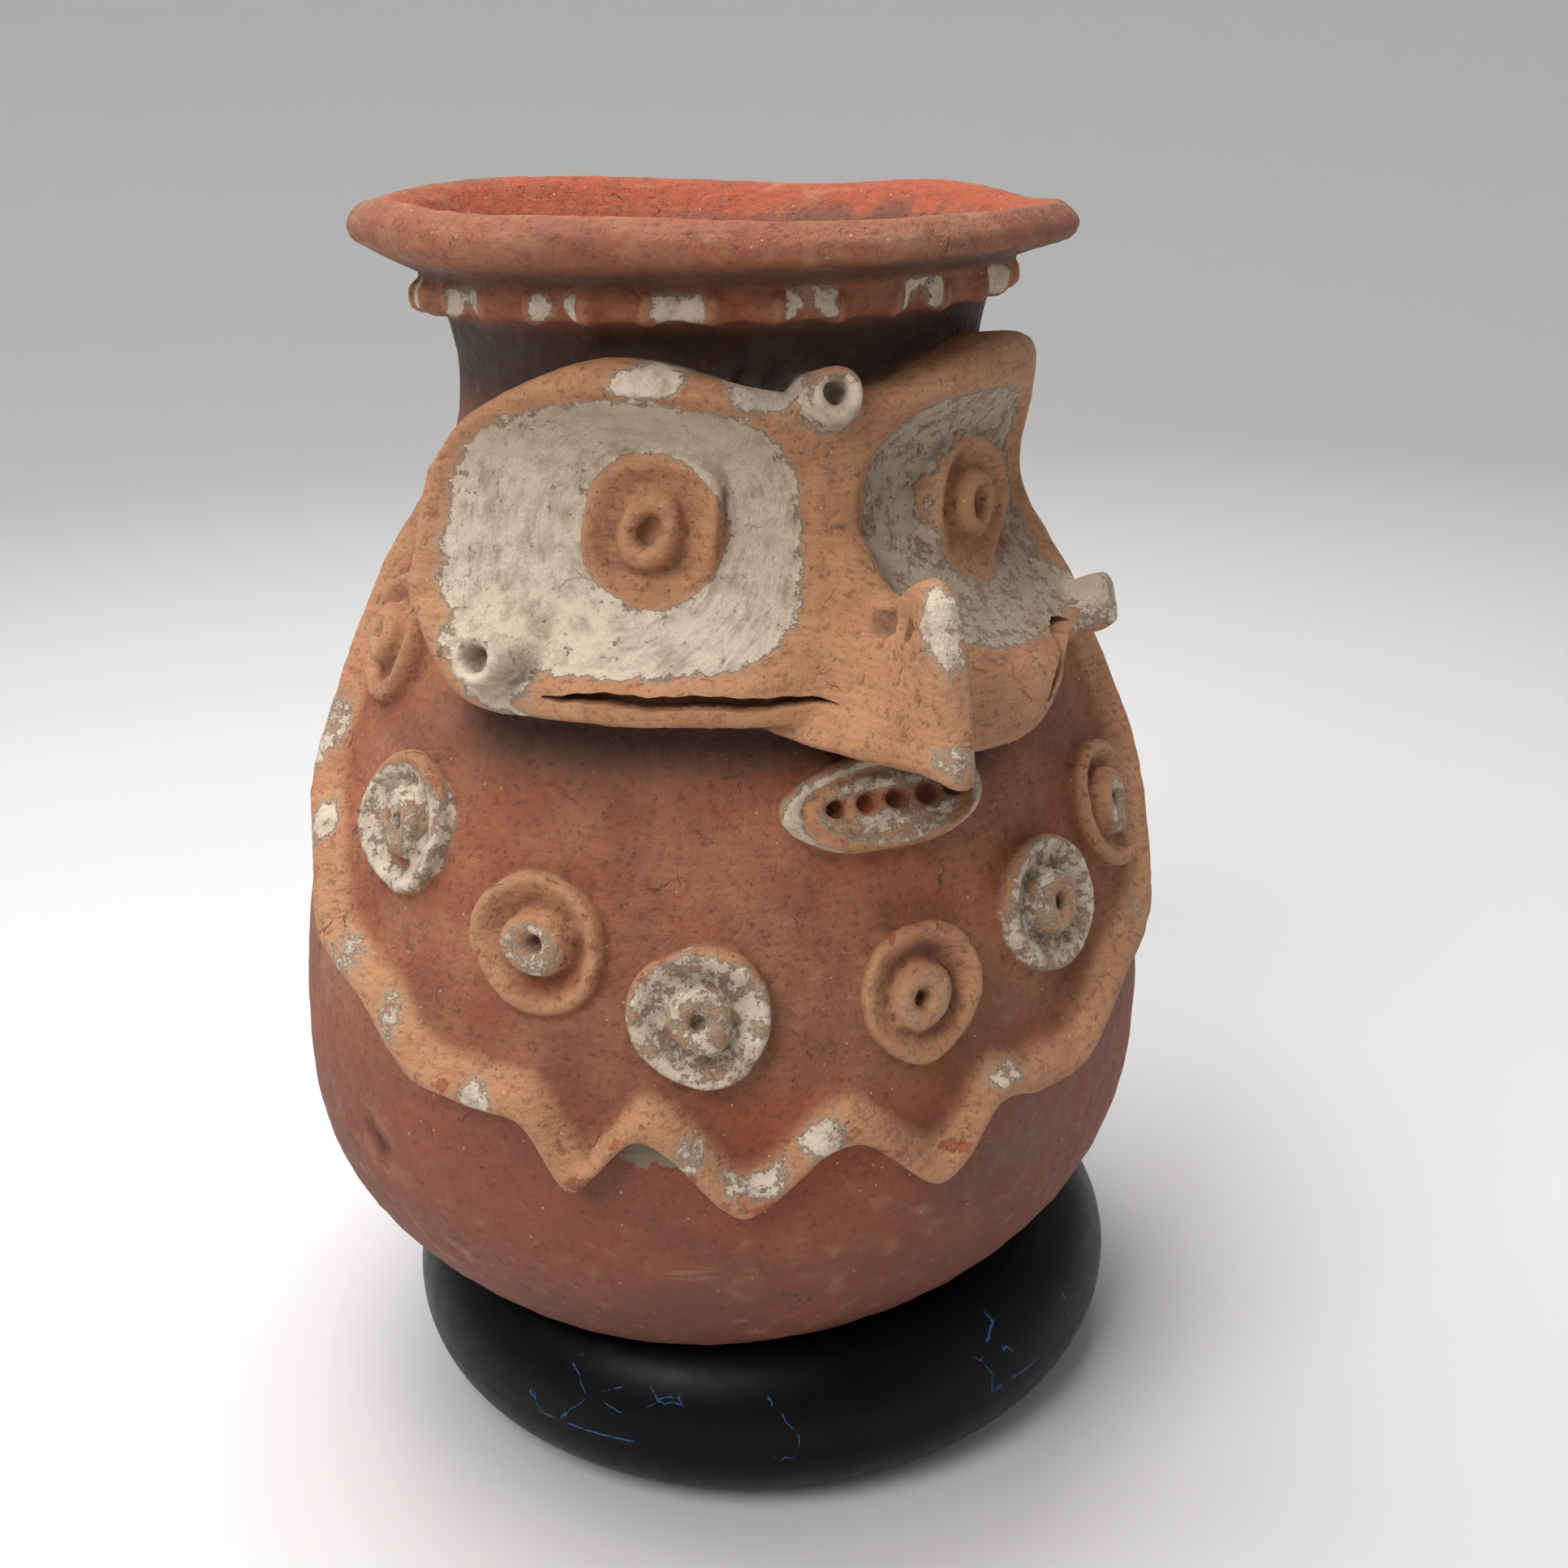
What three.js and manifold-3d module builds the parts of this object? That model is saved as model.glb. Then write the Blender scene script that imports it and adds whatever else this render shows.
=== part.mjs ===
// Sago storage jar: a hand-built fired-clay face jar standing in a black support ring.
// Millimetres, +Z up. The face looks along -Y. An angle goes round the jar in degrees, from the
// middle of the face towards +X, and left and right are those of someone who faces the jar.

import * as THREE from 'three';
import { mergeVertices } from 'three/addons/utils/BufferGeometryUtils.js';
import Module from 'manifold-3d';

const wasm = await Module();
wasm.setup();

// Jar body
const JAR_LIFT = 4.8;
const JAR_HEIGHT = 592;
const BELLY_RADIUS = 215.6;
const BELLY_HEIGHT = 206;
const NECK_RADIUS = 119.5;
const NECK_HEIGHT = 520;
const WALL = 10;
const FLOOR_WALL = 14;
const BODY_SIDES = 32;
const HOLLOW_SIDES = 20;
const BODY_STEPS = 14;
const HOLLOW_STEPS = 8;
const SEAT_STEPS = 12;

// The clay walls drift sideways as they rise, as a coiled pot's do
const DRIFT_PER_HEIGHT = 0.035;
const DRIFT_ANGLE = 68.5;

// Rim and collar
const RIM_RADIUS = 165;
const RIM_THICKNESS = 19;
const RIM_WIDTH = 20;
const RIM_ROLL = 9;
const RIM_SAG = 3;
const RIM_TILT = 2.1;
const RIM_WAVE = 1.2;
const COLLAR_RADIUS = 136;
const COLLAR_STEP = 8;

// Thumb-pressed fillet under the collar
const FILLET_RADIUS = 142;
const FILLET_HEIGHT = 560;
const FILLET_THICKNESS = 18;
const THUMB_PRINTS = 32;
const FIRST_PRINT_ANGLE = -4;
const PRINT_DEPTH = 5;
const PRINT_DROP = 2.5;
const STEPS_PER_PRINT = 2;

// Chest discs: angle round the jar and height of each
const DISC_RADIUS = 30;
const DISC_STAND = 6;
const DISC_LIP = 3.5;
const DISC_LIP_WIDTH = 9;
const DISC_TAPER = 0.95;
const DISC_SIDES = 9;
const DISC_SINK = 7;
const KNOB_RADIUS = 14;
const KNOB_STAND = 13;
const KNOB_HOLE = 4.5;
const EYE_HOLE = 6.5;
const KNOB_HOLE_DEPTH = 9;
const CHEST_DISCS = [
  [-86.6, 410], [-66.3, 346], [-42.6, 313], [-23, 286.5], [2.7, 285.5], [23.6, 303], [43.4, 325],
];

// Wavy ledge that frames the chest
const LEDGE_CENTRE_ANGLE = -7;
const LEDGE_REACH_LEFT = 103;
const LEDGE_REACH_RIGHT = 76;
const LEDGE_SQUARENESS_LEFT = 2;
const LEDGE_SQUARENESS_RIGHT = 2.3;
const LEDGE_START = 0.035;
const LEDGE_END = 0.96;
const LEDGE_TOP = 515;
const LEDGE_LOW = 220;
const LEDGE_STAND = 13;
const LEDGE_LIP = 5;
const LEDGE_WIDTH = 9;
const LEDGE_RAMP = 22;
const LEDGE_SINK = 5;
const LEDGE_FADE = 60;
const LEDGE_STEP = 21;
const WAVE_HEIGHT = 15.5;
const RIPPLE_HEIGHT = 4;
const RIPPLE_PITCH = 80;

// Runs along the ledge, from the middle of the face, where it dips and rises in turn
const WAVE_TURNS = [-134, -112, -67, -26, 14];

// Mask: a dished face that stands off the neck, placed by the height of its eyes
const EYE_HEIGHT = 470;
const MASK_RISE = 74;
const MASK_DROP = 70;
const MASK_TOP = EYE_HEIGHT + MASK_RISE;
const MASK_BOTTOM = EYE_HEIGHT - MASK_DROP;
const MASK_HALF_LEFT = 70;
const MASK_HALF_RIGHT = 64;
const MASK_TILT = -0.045;
const MASK_LIP = 9;
const BROW_DIP = 20;
const BROW_DROP_LEFT = 6;
const SHOULDER_ANGLE = 40;
const SHOULDER_LEFT = 36;
const SHOULDER_RIGHT = 10;
const SHOULDER_CORNER = 12;
const JAW_DROOP = 17;
const JAW_BULGE = 8;
const JAW_RISE = 27;
const CHEEK_RISE = 48;
const CHEEK_RADIUS = 190;
const CHEEK_FLATNESS = 25;
const CHEEK_FLAT_HEIGHT = 45;
const BROW_RADIUS = 149;
const RIDGE_RADIUS = 143;
const RIDGE_FLARE = 26;
const RIDGE_SET_BACK = 46;
const DISH_LEFT = { angle: -35.5, halfAngle: 32 };
const DISH_RIGHT = { angle: 30, halfAngle: 27 };
const DISH_HALF_HEIGHT = 57;
const DISH_SQUARENESS = 2.7;
const DISH_DEPTH = 36;
const EYE_DISC_ANGLE = 31.5;
const EYE_DISC_RADIUS = 31;
const EYE_DISC_LEAN = 0.1;
const MASK_COLUMNS = 22;
const MASK_ROWS = 10;
const MASK_BACK_ROWS = 4;

// Beak: a fin that runs out from the ridge, in sections that are shares of its reach, each with the
// height of its top and bottom over the eyes, and its half-width at the top, middle and bottom
const BEAK_REACH = 252;
const BEAK_TURN = 1.2;
const BEAK_SECTIONS = [
  [0.52, 12, -76, 8, 20, 58],
  [0.6, -7, -78, 9, 25, 54],
  [0.67, -17, -79, 9, 26, 48],
  [0.74, -18, -80, 8, 21, 39],
  [0.81, -12, -81, 7, 14, 28],
  [0.855, -5, -81, 7, 11, 21],
  [0.89, -4, -80, 6.5, 9.5, 17],
  [0.925, -14, -79, 6.5, 8.5, 13],
  [0.965, -38, -79, 6, 7, 9],
  [1, -69, -80, 3.5, 4, 4],
];

// Horn-like tubes on the cheeks and brow: angle, height over the eyes, radius out and lean
const TUBE_RADIUS = 11.5;
const TUBE_LENGTH = 20;
const TUBE_BORE = 6;
const TUBE_BORE_DEPTH = 12;
const TUBE_SIDES = 8;
const TUBES = [
  [-50, -45, CHEEK_RADIUS - 1, 0.35],
  [50, -52, CHEEK_RADIUS - 7, 0.35],
  [-2, 54, RIDGE_RADIUS + 2, 0.3],
];

// Mouth slits: the angle of each one's middle, its length and its rise over the mask's lower edge
const SLIT_HEIGHT = 5;
const SLIT_DEPTH = 11;
const SLIT_STEPS = 8;
const SLIT_CUT_OUT = 30;
const SLITS = [[-24.5, 122, 11], [32.5, 56, 8]];

// Toothed oval under the beak
const MOUTH_ANGLE = 1.7;
const MOUTH_DROP = 108;
const MOUTH_HEIGHT = EYE_HEIGHT - MOUTH_DROP;
const MOUTH_HALF_WIDTH = 47;
const MOUTH_HALF_HEIGHT = 21.5;
const MOUTH_STAND = 10;
const MOUTH_LIP = 9;
const MOUTH_GROOVE = 2;
const MOUTH_SINK = 6;
const MOUTH_BEVEL = 2.5;
const TOOTH_HOLES = 5;
const TOOTH_HOLE_RADIUS = 4.5;
const TOOTH_PITCH = 13.5;
const TOOTH_SHIFT = 4;

// Support ring
const RING_RADIUS = 144.2;
const RING_TUBE = 44.7;
const RING_OFFSET = 14.4;
const RING_SIDES = 32;
const RING_TUBE_SIDES = 12;
const SEAT_GAP = 0.3;

const rad = THREE.MathUtils.degToRad;
const lerp = THREE.MathUtils.lerp;
const smooth = THREE.MathUtils.smoothstep;
const signedPower = (value, power) => Math.sign(value) * Math.abs(value) ** power;

// Radius of the jar's outer wall at a height above the floor, up to the collar
function wallRadius(z) {
  if (z <= BELLY_HEIGHT) {
    const rise = THREE.MathUtils.clamp((z - JAR_LIFT) / (BELLY_HEIGHT - JAR_LIFT), 0, 1);
    return BELLY_RADIUS * (1 - (1 - rise) ** 2.5) ** 0.92;
  }
  const climb = Math.min((z - BELLY_HEIGHT) / (NECK_HEIGHT - BELLY_HEIGHT), 1);
  const waist = NECK_RADIUS + (BELLY_RADIUS - NECK_RADIUS) * (1 - climb ** 2.2) ** 1.89;
  const flare = Math.max(0, (z - NECK_HEIGHT) / (FILLET_HEIGHT - NECK_HEIGHT));
  return waist + (COLLAR_RADIUS - COLLAR_STEP - NECK_RADIUS) * flare ** 2;
}

// Slope of the wall at a height: how far its outward normal turns up, in radians
function wallSlope(z) {
  const reach = 8;
  return Math.atan2(wallRadius(z - reach) - wallRadius(z + reach), 2 * reach);
}

// Small unevenness of a pot built by hand
function handmade(angle, z) {
  const turn = rad(angle);
  return 1.4 * Math.sin(2 * turn + z / 90) + 0.9 * Math.sin(5 * turn - z / 47);
}

// A point at an angle from the face, a radius and a height, on the drifting axis
function place(angle, radius, z) {
  const drift = DRIFT_PER_HEIGHT * (z - BELLY_HEIGHT);
  const turn = rad(angle);
  return new THREE.Vector3(
    radius * Math.sin(turn) + drift * Math.sin(rad(DRIFT_ANGLE)),
    -radius * Math.cos(turn) - drift * Math.cos(rad(DRIFT_ANGLE)),
    z,
  );
}

function toSolid(geometry) {
  const bare = geometry.clone();
  bare.deleteAttribute('normal');
  bare.deleteAttribute('uv');
  const merged = mergeVertices(bare, 1e-4);
  const mesh = new wasm.Mesh({
    numProp: 3,
    vertProperties: new Float32Array(merged.attributes.position.array),
    triVerts: new Uint32Array(merged.index.array),
  });
  return new wasm.Manifold(mesh);
}

function toGeometry(solid) {
  const mesh = solid.getMesh();
  const geometry = new THREE.BufferGeometry();
  geometry.setAttribute('position', new THREE.BufferAttribute(mesh.vertProperties, 3));
  geometry.setIndex(new THREE.BufferAttribute(mesh.triVerts, 1));
  return geometry;
}

// A closed skin over rows of points: each row is a closed loop, and the first and last are capped
function loft(rows, ringed = false) {
  const width = rows[0].length;
  const positions = rows.flat().flatMap((point) => point.toArray());
  const index = [];
  const spans = ringed ? rows.length : rows.length - 1;
  for (let i = 0; i < spans; i += 1) {
    const next = (i + 1) % rows.length;
    for (let j = 0; j < width; j += 1) {
      const side = (j + 1) % width;
      index.push(i * width + j, i * width + side, next * width + j);
      index.push(i * width + side, next * width + side, next * width + j);
    }
  }
  if (!ringed) {
    [0, rows.length - 1].forEach((row, end) => {
      const middle = rows[row].reduce((sum, point) => sum.add(point), new THREE.Vector3());
      positions.push(...middle.divideScalar(width).toArray());
      const hub = positions.length / 3 - 1;
      for (let j = 0; j < width; j += 1) {
        const side = (j + 1) % width;
        const [a, b] = end ? [j, side] : [side, j];
        index.push(hub, row * width + a, row * width + b);
      }
    });
  }
  const geometry = new THREE.BufferGeometry();
  geometry.setAttribute('position', new THREE.Float32BufferAttribute(positions, 3));
  geometry.setIndex(index);
  const solid = toSolid(geometry);
  if (solid.volume() > 0) return solid;
  const flipped = [];
  for (let i = 0; i < index.length; i += 3) flipped.push(index[i], index[i + 2], index[i + 1]);
  geometry.setIndex(flipped);
  return toSolid(geometry);
}

// A shape turned about +Z from a profile of [radius, height] pairs
function turned(profile, sides) {
  const points = profile.map(([radius, z]) => new THREE.Vector2(radius, z));
  return new THREE.LatheGeometry(points, sides).rotateX(Math.PI / 2);
}

// Carries a shape modelled on the XY plane out to the wall, facing outwards
function onWall(geometry, angle, z, radius = wallRadius(z), lean = null) {
  const slope = lean ?? wallSlope(z);
  const outward = place(angle, 1, z).sub(place(angle, 0, z)).multiplyScalar(Math.cos(slope));
  outward.z = Math.sin(slope);
  const across = new THREE.Vector3(Math.cos(rad(angle)), Math.sin(rad(angle)), 0);
  const upward = new THREE.Vector3().crossVectors(outward, across);
  const frame = new THREE.Matrix4().makeBasis(across, upward, outward);
  frame.setPosition(place(angle, radius, z));
  return geometry.applyMatrix4(frame);
}

// Height the rim adds on each side, since the pot was finished by eye
function rimLift(point) {
  const side = point.x * Math.sin(rad(DRIFT_ANGLE)) - point.y * Math.cos(rad(DRIFT_ANGLE));
  return -side * Math.tan(rad(RIM_TILT));
}

// Carries a turned shape to the jar's axis and roughens it as a hand does
function shapeByHand(geometry, swell = 0) {
  const top = JAR_LIFT + JAR_HEIGHT;
  const position = geometry.attributes.position;
  const point = new THREE.Vector3();
  for (let i = 0; i < position.count; i += 1) {
    point.fromBufferAttribute(position, i);
    const radius = Math.hypot(point.x, point.y);
    const angle = radius > 0 ? THREE.MathUtils.radToDeg(Math.atan2(point.x, -point.y)) : 0;
    const uneven = handmade(angle, point.z) * Math.min(1, radius / NECK_RADIUS);
    const grown = radius > 0 ? radius + uneven + swell : 0;
    const rimShare = smooth(point.z, FILLET_HEIGHT, top);
    const lift = rimShare * (rimLift(point) + RIM_WAVE * Math.sin(rad(4 * angle)));
    const moved = place(angle, grown, point.z);
    position.setXYZ(i, moved.x, moved.y, moved.z + lift);
  }
  return toSolid(geometry);
}

// Wall profile from the underside up to a height
function wallProfile(top, steps, thickness = 0) {
  const low = JAR_LIFT + (thickness > 0 ? FLOOR_WALL : 0);
  const profile = [[0, low]];
  for (let i = 1; i <= steps; i += 1) {
    const z = low + (top - low) * (i / steps) ** 1.12;
    profile.push([wallRadius(z) - thickness, z]);
  }
  return profile;
}

function jarShell() {
  const top = JAR_LIFT + JAR_HEIGHT;
  const rimMiddle = top - RIM_THICKNESS / 2;
  const lipRadius = RIM_RADIUS - RIM_WIDTH;
  const outer = [
    ...wallProfile(FILLET_HEIGHT, BODY_STEPS),
    [COLLAR_RADIUS, FILLET_HEIGHT + FILLET_THICKNESS / 2],
    [RIM_RADIUS - RIM_ROLL, rimMiddle - RIM_THICKNESS / 2],
    [RIM_RADIUS - RIM_ROLL / 9, rimMiddle - RIM_THICKNESS / 4],
    [RIM_RADIUS, rimMiddle],
    [RIM_RADIUS - RIM_ROLL / 2, rimMiddle + RIM_THICKNESS / 3],
    [RIM_RADIUS - RIM_WIDTH / 2, top],
    [lipRadius, top - RIM_SAG],
    [0, top - RIM_SAG],
  ];
  const above = top + RIM_THICKNESS;
  const hollow = [
    ...wallProfile(FILLET_HEIGHT, HOLLOW_STEPS, WALL),
    [lipRadius - RIM_SAG / 3, top - RIM_SAG - RIM_SAG / 3],
    [lipRadius + RIM_THICKNESS, above],
    [0, above],
  ];
  return shapeByHand(turned(outer, BODY_SIDES)).subtract(shapeByHand(turned(hollow, HOLLOW_SIDES)));
}

// The jar's lower form, a little swollen, that presses its seat into the ring
function seatForm() {
  const profile = wallProfile(BELLY_HEIGHT, SEAT_STEPS);
  profile.push([0, BELLY_HEIGHT]);
  return shapeByHand(turned(profile, BODY_SIDES).translate(0, 0, -SEAT_GAP), 3 * SEAT_GAP);
}

// The strip under the collar, with the hollow that each thumb print leaves
function fillet() {
  const count = THUMB_PRINTS * STEPS_PER_PRINT;
  const half = FILLET_THICKNESS / 2;
  const rows = [];
  for (let i = 0; i < count; i += 1) {
    const turn = (360 * i) / count;
    const angle = FIRST_PRINT_ANGLE + turn;
    const press = Math.abs(Math.cos(rad((turn * THUMB_PRINTS) / 2)));
    const out = FILLET_RADIUS - PRINT_DEPTH * press;
    rows.push([
      place(angle, NECK_RADIUS - 3, FILLET_HEIGHT - half - 2),
      place(angle, out - 2, FILLET_HEIGHT - half + PRINT_DROP * press),
      place(angle, out - 1, FILLET_HEIGHT + half - 1),
      place(angle, NECK_RADIUS, FILLET_HEIGHT + half),
    ]);
  }
  return loft(rows, true);
}

// A pressed disc with a raised lip and a bored knob in its middle
function disc(radius, hole, angle, z, wall, lean) {
  const floor = DISC_STAND - 2;
  const profile = [
    [0, -DISC_SINK],
    [radius * DISC_TAPER, -DISC_SINK],
    [radius, DISC_STAND],
    [radius - DISC_LIP, DISC_STAND + DISC_LIP - 1],
    [radius - DISC_LIP_WIDTH, floor],
    [KNOB_RADIUS, floor],
    [KNOB_RADIUS - 2, KNOB_STAND - 1],
    [hole, KNOB_STAND],
    [hole - 1, KNOB_STAND - KNOB_HOLE_DEPTH],
    [0, KNOB_STAND - KNOB_HOLE_DEPTH],
  ];
  return toSolid(onWall(turned(profile, DISC_SIDES), angle, z, wall, lean));
}

// The angle and height of the ledge at a share of its length, before it waves
function ledgePath(share) {
  const sweep = Math.PI * lerp(LEDGE_START, LEDGE_END, share);
  const onLeft = sweep < Math.PI / 2;
  const reach = onLeft ? LEDGE_REACH_LEFT : LEDGE_REACH_RIGHT;
  const bend = 2 / (onLeft ? LEDGE_SQUARENESS_LEFT : LEDGE_SQUARENESS_RIGHT);
  const along = -signedPower(Math.cos(sweep), bend);
  const drop = Math.sin(sweep) ** bend;
  return [LEDGE_CENTRE_ANGLE + reach * along, LEDGE_TOP - (LEDGE_TOP - LEDGE_LOW) * drop];
}

// Waves passed at a run from the middle of the face, counted from the first dip
function wavesPassed(run) {
  const last = WAVE_TURNS.length - 1;
  if (run <= WAVE_TURNS[0]) return (run - WAVE_TURNS[0]) / RIPPLE_PITCH;
  if (run >= WAVE_TURNS[last]) return last / 2 + (run - WAVE_TURNS[last]) / RIPPLE_PITCH;
  const next = WAVE_TURNS.findIndex((turn) => turn > run);
  const share = (run - WAVE_TURNS[next - 1]) / (WAVE_TURNS[next] - WAVE_TURNS[next - 1]);
  return (next - 1 + share) / 2;
}

// How far the ledge swings down or out at a run from the middle of the face
function ledgeWave(run) {
  const [first, last] = [WAVE_TURNS[0], WAVE_TURNS.at(-1)];
  const front = smooth(run, first - 50, first - 10) * (1 - smooth(run, last + 20, last + 55));
  const height = lerp(RIPPLE_HEIGHT, WAVE_HEIGHT, front);
  return height * (1 - 2 * Math.abs(Math.sin(Math.PI * wavesPassed(run))) ** 1.3);
}

// Even steps along the ledge, each with its run, place and the way that points down or out
function ledgeSteps() {
  const fine = 400;
  const track = [];
  for (let i = 0; i <= fine; i += 1) track.push(ledgePath(i / fine));
  const runs = [0];
  for (let i = 1; i <= fine; i += 1) {
    const [from, to] = [track[i - 1], track[i]].map(([angle, z]) => place(angle, wallRadius(z), z));
    runs.push(runs[i - 1] + from.distanceTo(to));
  }
  const frontRun = runs[track.findIndex(([angle]) => angle >= 0)];
  const total = runs[fine];
  const steps = Math.round(total / LEDGE_STEP);
  return Array.from({ length: steps + 1 }, (_, k) => {
    const run = (total * k) / steps;
    const i = Math.min(fine - 1, Math.max(1, runs.findIndex((value) => value >= run)));
    const [angle, z] = track[i];
    const around = rad(track[i + 1][0] - track[i - 1][0]) * wallRadius(z);
    const stepHeight = track[i + 1][1] - track[i - 1][1];
    const stepRadius = wallRadius(track[i + 1][1]) - wallRadius(track[i - 1][1]);
    const climb = Math.hypot(stepHeight, stepRadius) * Math.sign(stepHeight);
    const size = Math.hypot(around, climb);
    const fade = smooth(run, 0, LEDGE_FADE) * (1 - smooth(run, total - LEDGE_FADE, total));
    return { angle, z, outAround: climb / size, outDown: around / size, fade, wave: ledgeWave(run - frontRun) };
  });
}

// The ledge: steep on its outer side, and sloping in to the chest on its inner side
function ledge() {
  const rows = ledgeSteps().map(({ angle, z, outAround, outDown, fade, wave }) => {
    const stand = LEDGE_STAND * lerp(0.4, 1, fade);
    const slope = wallSlope(z);
    const at = (away, height) => {
      const shift = away + wave;
      const pointZ = z - shift * outDown * Math.cos(slope);
      const pointAngle = angle + THREE.MathUtils.radToDeg((shift * outAround) / wallRadius(z));
      const out = wallRadius(pointZ) + height * Math.cos(slope);
      return place(pointAngle, out, pointZ + height * Math.sin(slope));
    };
    return [
      at(LEDGE_LIP - 2, -LEDGE_SINK), at(LEDGE_LIP, stand * 0.4), at(LEDGE_LIP - 1, stand * 0.9),
      at(-1, stand), at(-LEDGE_WIDTH, stand * 0.65), at(-LEDGE_RAMP, -3),
    ];
  });
  return loft(rows);
}

// How far the mask reaches round the jar on the side of an angle
const maskHalf = (angle) => (angle < 0 ? MASK_HALF_LEFT : MASK_HALF_RIGHT);

// How far the mask sits up or down at an angle, since it was set on askew
const tilted = (angle) => MASK_TILT * BROW_RADIUS * Math.sin(rad(angle));

// Top and bottom edges of the mask at an angle from its middle
function maskTop(angle) {
  const side = Math.abs(angle);
  const dip = BROW_DIP * (1 - smooth(side, 3, SHOULDER_ANGLE - 2));
  const past = Math.max(0, (side - SHOULDER_ANGLE) / (maskHalf(angle) - SHOULDER_ANGLE));
  const shoulder = (angle < 0 ? SHOULDER_LEFT : SHOULDER_RIGHT) * past ** 1.4;
  const drop = BROW_DROP_LEFT * smooth(-angle, 5, SHOULDER_ANGLE);
  return MASK_TOP - dip - drop - shoulder - SHOULDER_CORNER * smooth(past, 0.75, 1);
}

function maskBottom(angle) {
  const side = Math.abs(angle) / maskHalf(angle);
  const droop = JAW_DROOP * smooth(angle, 0, 8) - JAW_RISE * smooth(angle, 18, 38);
  return MASK_BOTTOM - droop + CHEEK_RISE * smooth(side, 0.7, 1.06) ** 1.6;
}

// How far a place is from the middle of its eye dish: 1 on the dish's edge
function dishReach(angle, z) {
  const dish = angle < 0 ? DISH_LEFT : DISH_RIGHT;
  const across = Math.abs((angle - dish.angle) / dish.halfAngle);
  const up = Math.abs((z - EYE_HEIGHT) / DISH_HALF_HEIGHT);
  return (across ** DISH_SQUARENESS + up ** DISH_SQUARENESS) ** (1 / DISH_SQUARENESS);
}

// Outer surface of the mask, before its edge is rounded
function maskRadius(angle, z) {
  const besideEyes = Math.exp(-(((z - EYE_HEIGHT) / CHEEK_FLAT_HEIGHT) ** 2));
  const flat = CHEEK_FLATNESS * smooth(angle, 30, 58) * besideEyes;
  const bulge = JAW_BULGE * smooth(angle, 2, 10) * (1 - smooth(angle, 25, 40));
  const jaw = bulge * (1 - smooth(z, MASK_BOTTOM - 5, MASK_BOTTOM + 35));
  const rise = (z - MASK_BOTTOM) / (MASK_TOP - MASK_BOTTOM);
  const outerFace = lerp(CHEEK_RADIUS, BROW_RADIUS, rise) - flat + jaw;
  const nose = RIDGE_FLARE * (1 - smooth(z, MASK_BOTTOM + 10, EYE_HEIGHT));
  const setBack = RIDGE_SET_BACK * smooth(z, MASK_BOTTOM + 10, EYE_HEIGHT + 10);
  const middleFace = Math.max(RIDGE_RADIUS + nose, outerFace - setBack);
  const face = lerp(middleFace, outerFace, smooth(Math.abs(angle), 2, 24));
  const hollow = DISH_DEPTH * (1 - Math.min(1, dishReach(angle, z)) ** 2.3);
  const sunk = face - hollow * lerp(1, 0.85, smooth(z, EYE_HEIGHT + 10, EYE_HEIGHT + 60));
  return Math.max(sunk, wallRadius(z) + 3);
}

function mask() {
  const rows = [];
  for (let i = 0; i <= MASK_COLUMNS; i += 1) {
    const swing = (2 * i) / MASK_COLUMNS - 1;
    const angle = maskHalf(swing) * signedPower(swing, 0.93);
    const low = maskBottom(angle);
    const high = maskTop(angle);
    const edge = smooth(Math.abs(swing), 0.93, 1);
    const row = [];
    for (let j = 0; j <= MASK_ROWS; j += 1) {
      const share = 0.5 - 0.5 * Math.cos((Math.PI * j) / MASK_ROWS);
      const z = lerp(low, high, lerp(share, j / MASK_ROWS, 0.45));
      const fromEdge = Math.min(z - low, high - z);
      const roundOff = MASK_LIP * 0.55 * (1 - smooth(fromEdge, -1, MASK_LIP));
      const out = maskRadius(angle, z) - roundOff - 0.8 * MASK_LIP * edge;
      row.push(place(angle, out, z + tilted(angle)));
    }
    const back = angle + Math.sign(angle) * 5 * edge;
    for (let j = MASK_BACK_ROWS; j >= 0; j -= 1) {
      const z = lerp(low + 12, high - 2, j / MASK_BACK_ROWS);
      row.push(place(back, wallRadius(z) - WALL * 0.65, z + tilted(angle)));
    }
    rows.push(row);
  }
  return loft(rows);
}

function beak() {
  const rows = BEAK_SECTIONS.map(([share, over, under, atTop, atMiddle, atBottom]) => {
    const out = BEAK_REACH * share;
    const top = EYE_HEIGHT + over;
    const bottom = EYE_HEIGHT + under;
    const outline = [
      [0, top], [atTop * 0.8, top - 1.5], [atTop, top - 6], [atMiddle, (top + bottom) / 2],
      [atBottom, bottom + 7], [atBottom * 0.9, bottom], [0, bottom - 1],
    ];
    const mirrored = outline.slice(1, -1).reverse().map(([x, z]) => [-x, z]);
    return [...outline, ...mirrored].map(([x, z]) => {
      const turn = rad(BEAK_TURN);
      const base = place(0, 0, z);
      const side = x * Math.cos(turn) + out * Math.sin(turn);
      const front = -(out * Math.cos(turn) - x * Math.sin(turn));
      return new THREE.Vector3(base.x + side, base.y + front, z + MASK_TILT * x);
    });
  });
  return loft(rows);
}

// A short open tube of clay that stands on the mask
function tube(angle, z, radius, lean) {
  const end = TUBE_LENGTH / 2;
  const profile = [
    [0, -TUBE_LENGTH], [TUBE_RADIUS + 3, -TUBE_LENGTH], [TUBE_RADIUS, -4], [TUBE_RADIUS, end - 3],
    [TUBE_RADIUS - 2, end], [TUBE_BORE, end - 1], [TUBE_BORE - 1.5, end - TUBE_BORE_DEPTH],
    [0, end - TUBE_BORE_DEPTH],
  ];
  return toSolid(onWall(turned(profile, TUBE_SIDES), angle, z + tilted(angle), radius, lean));
}

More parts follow.
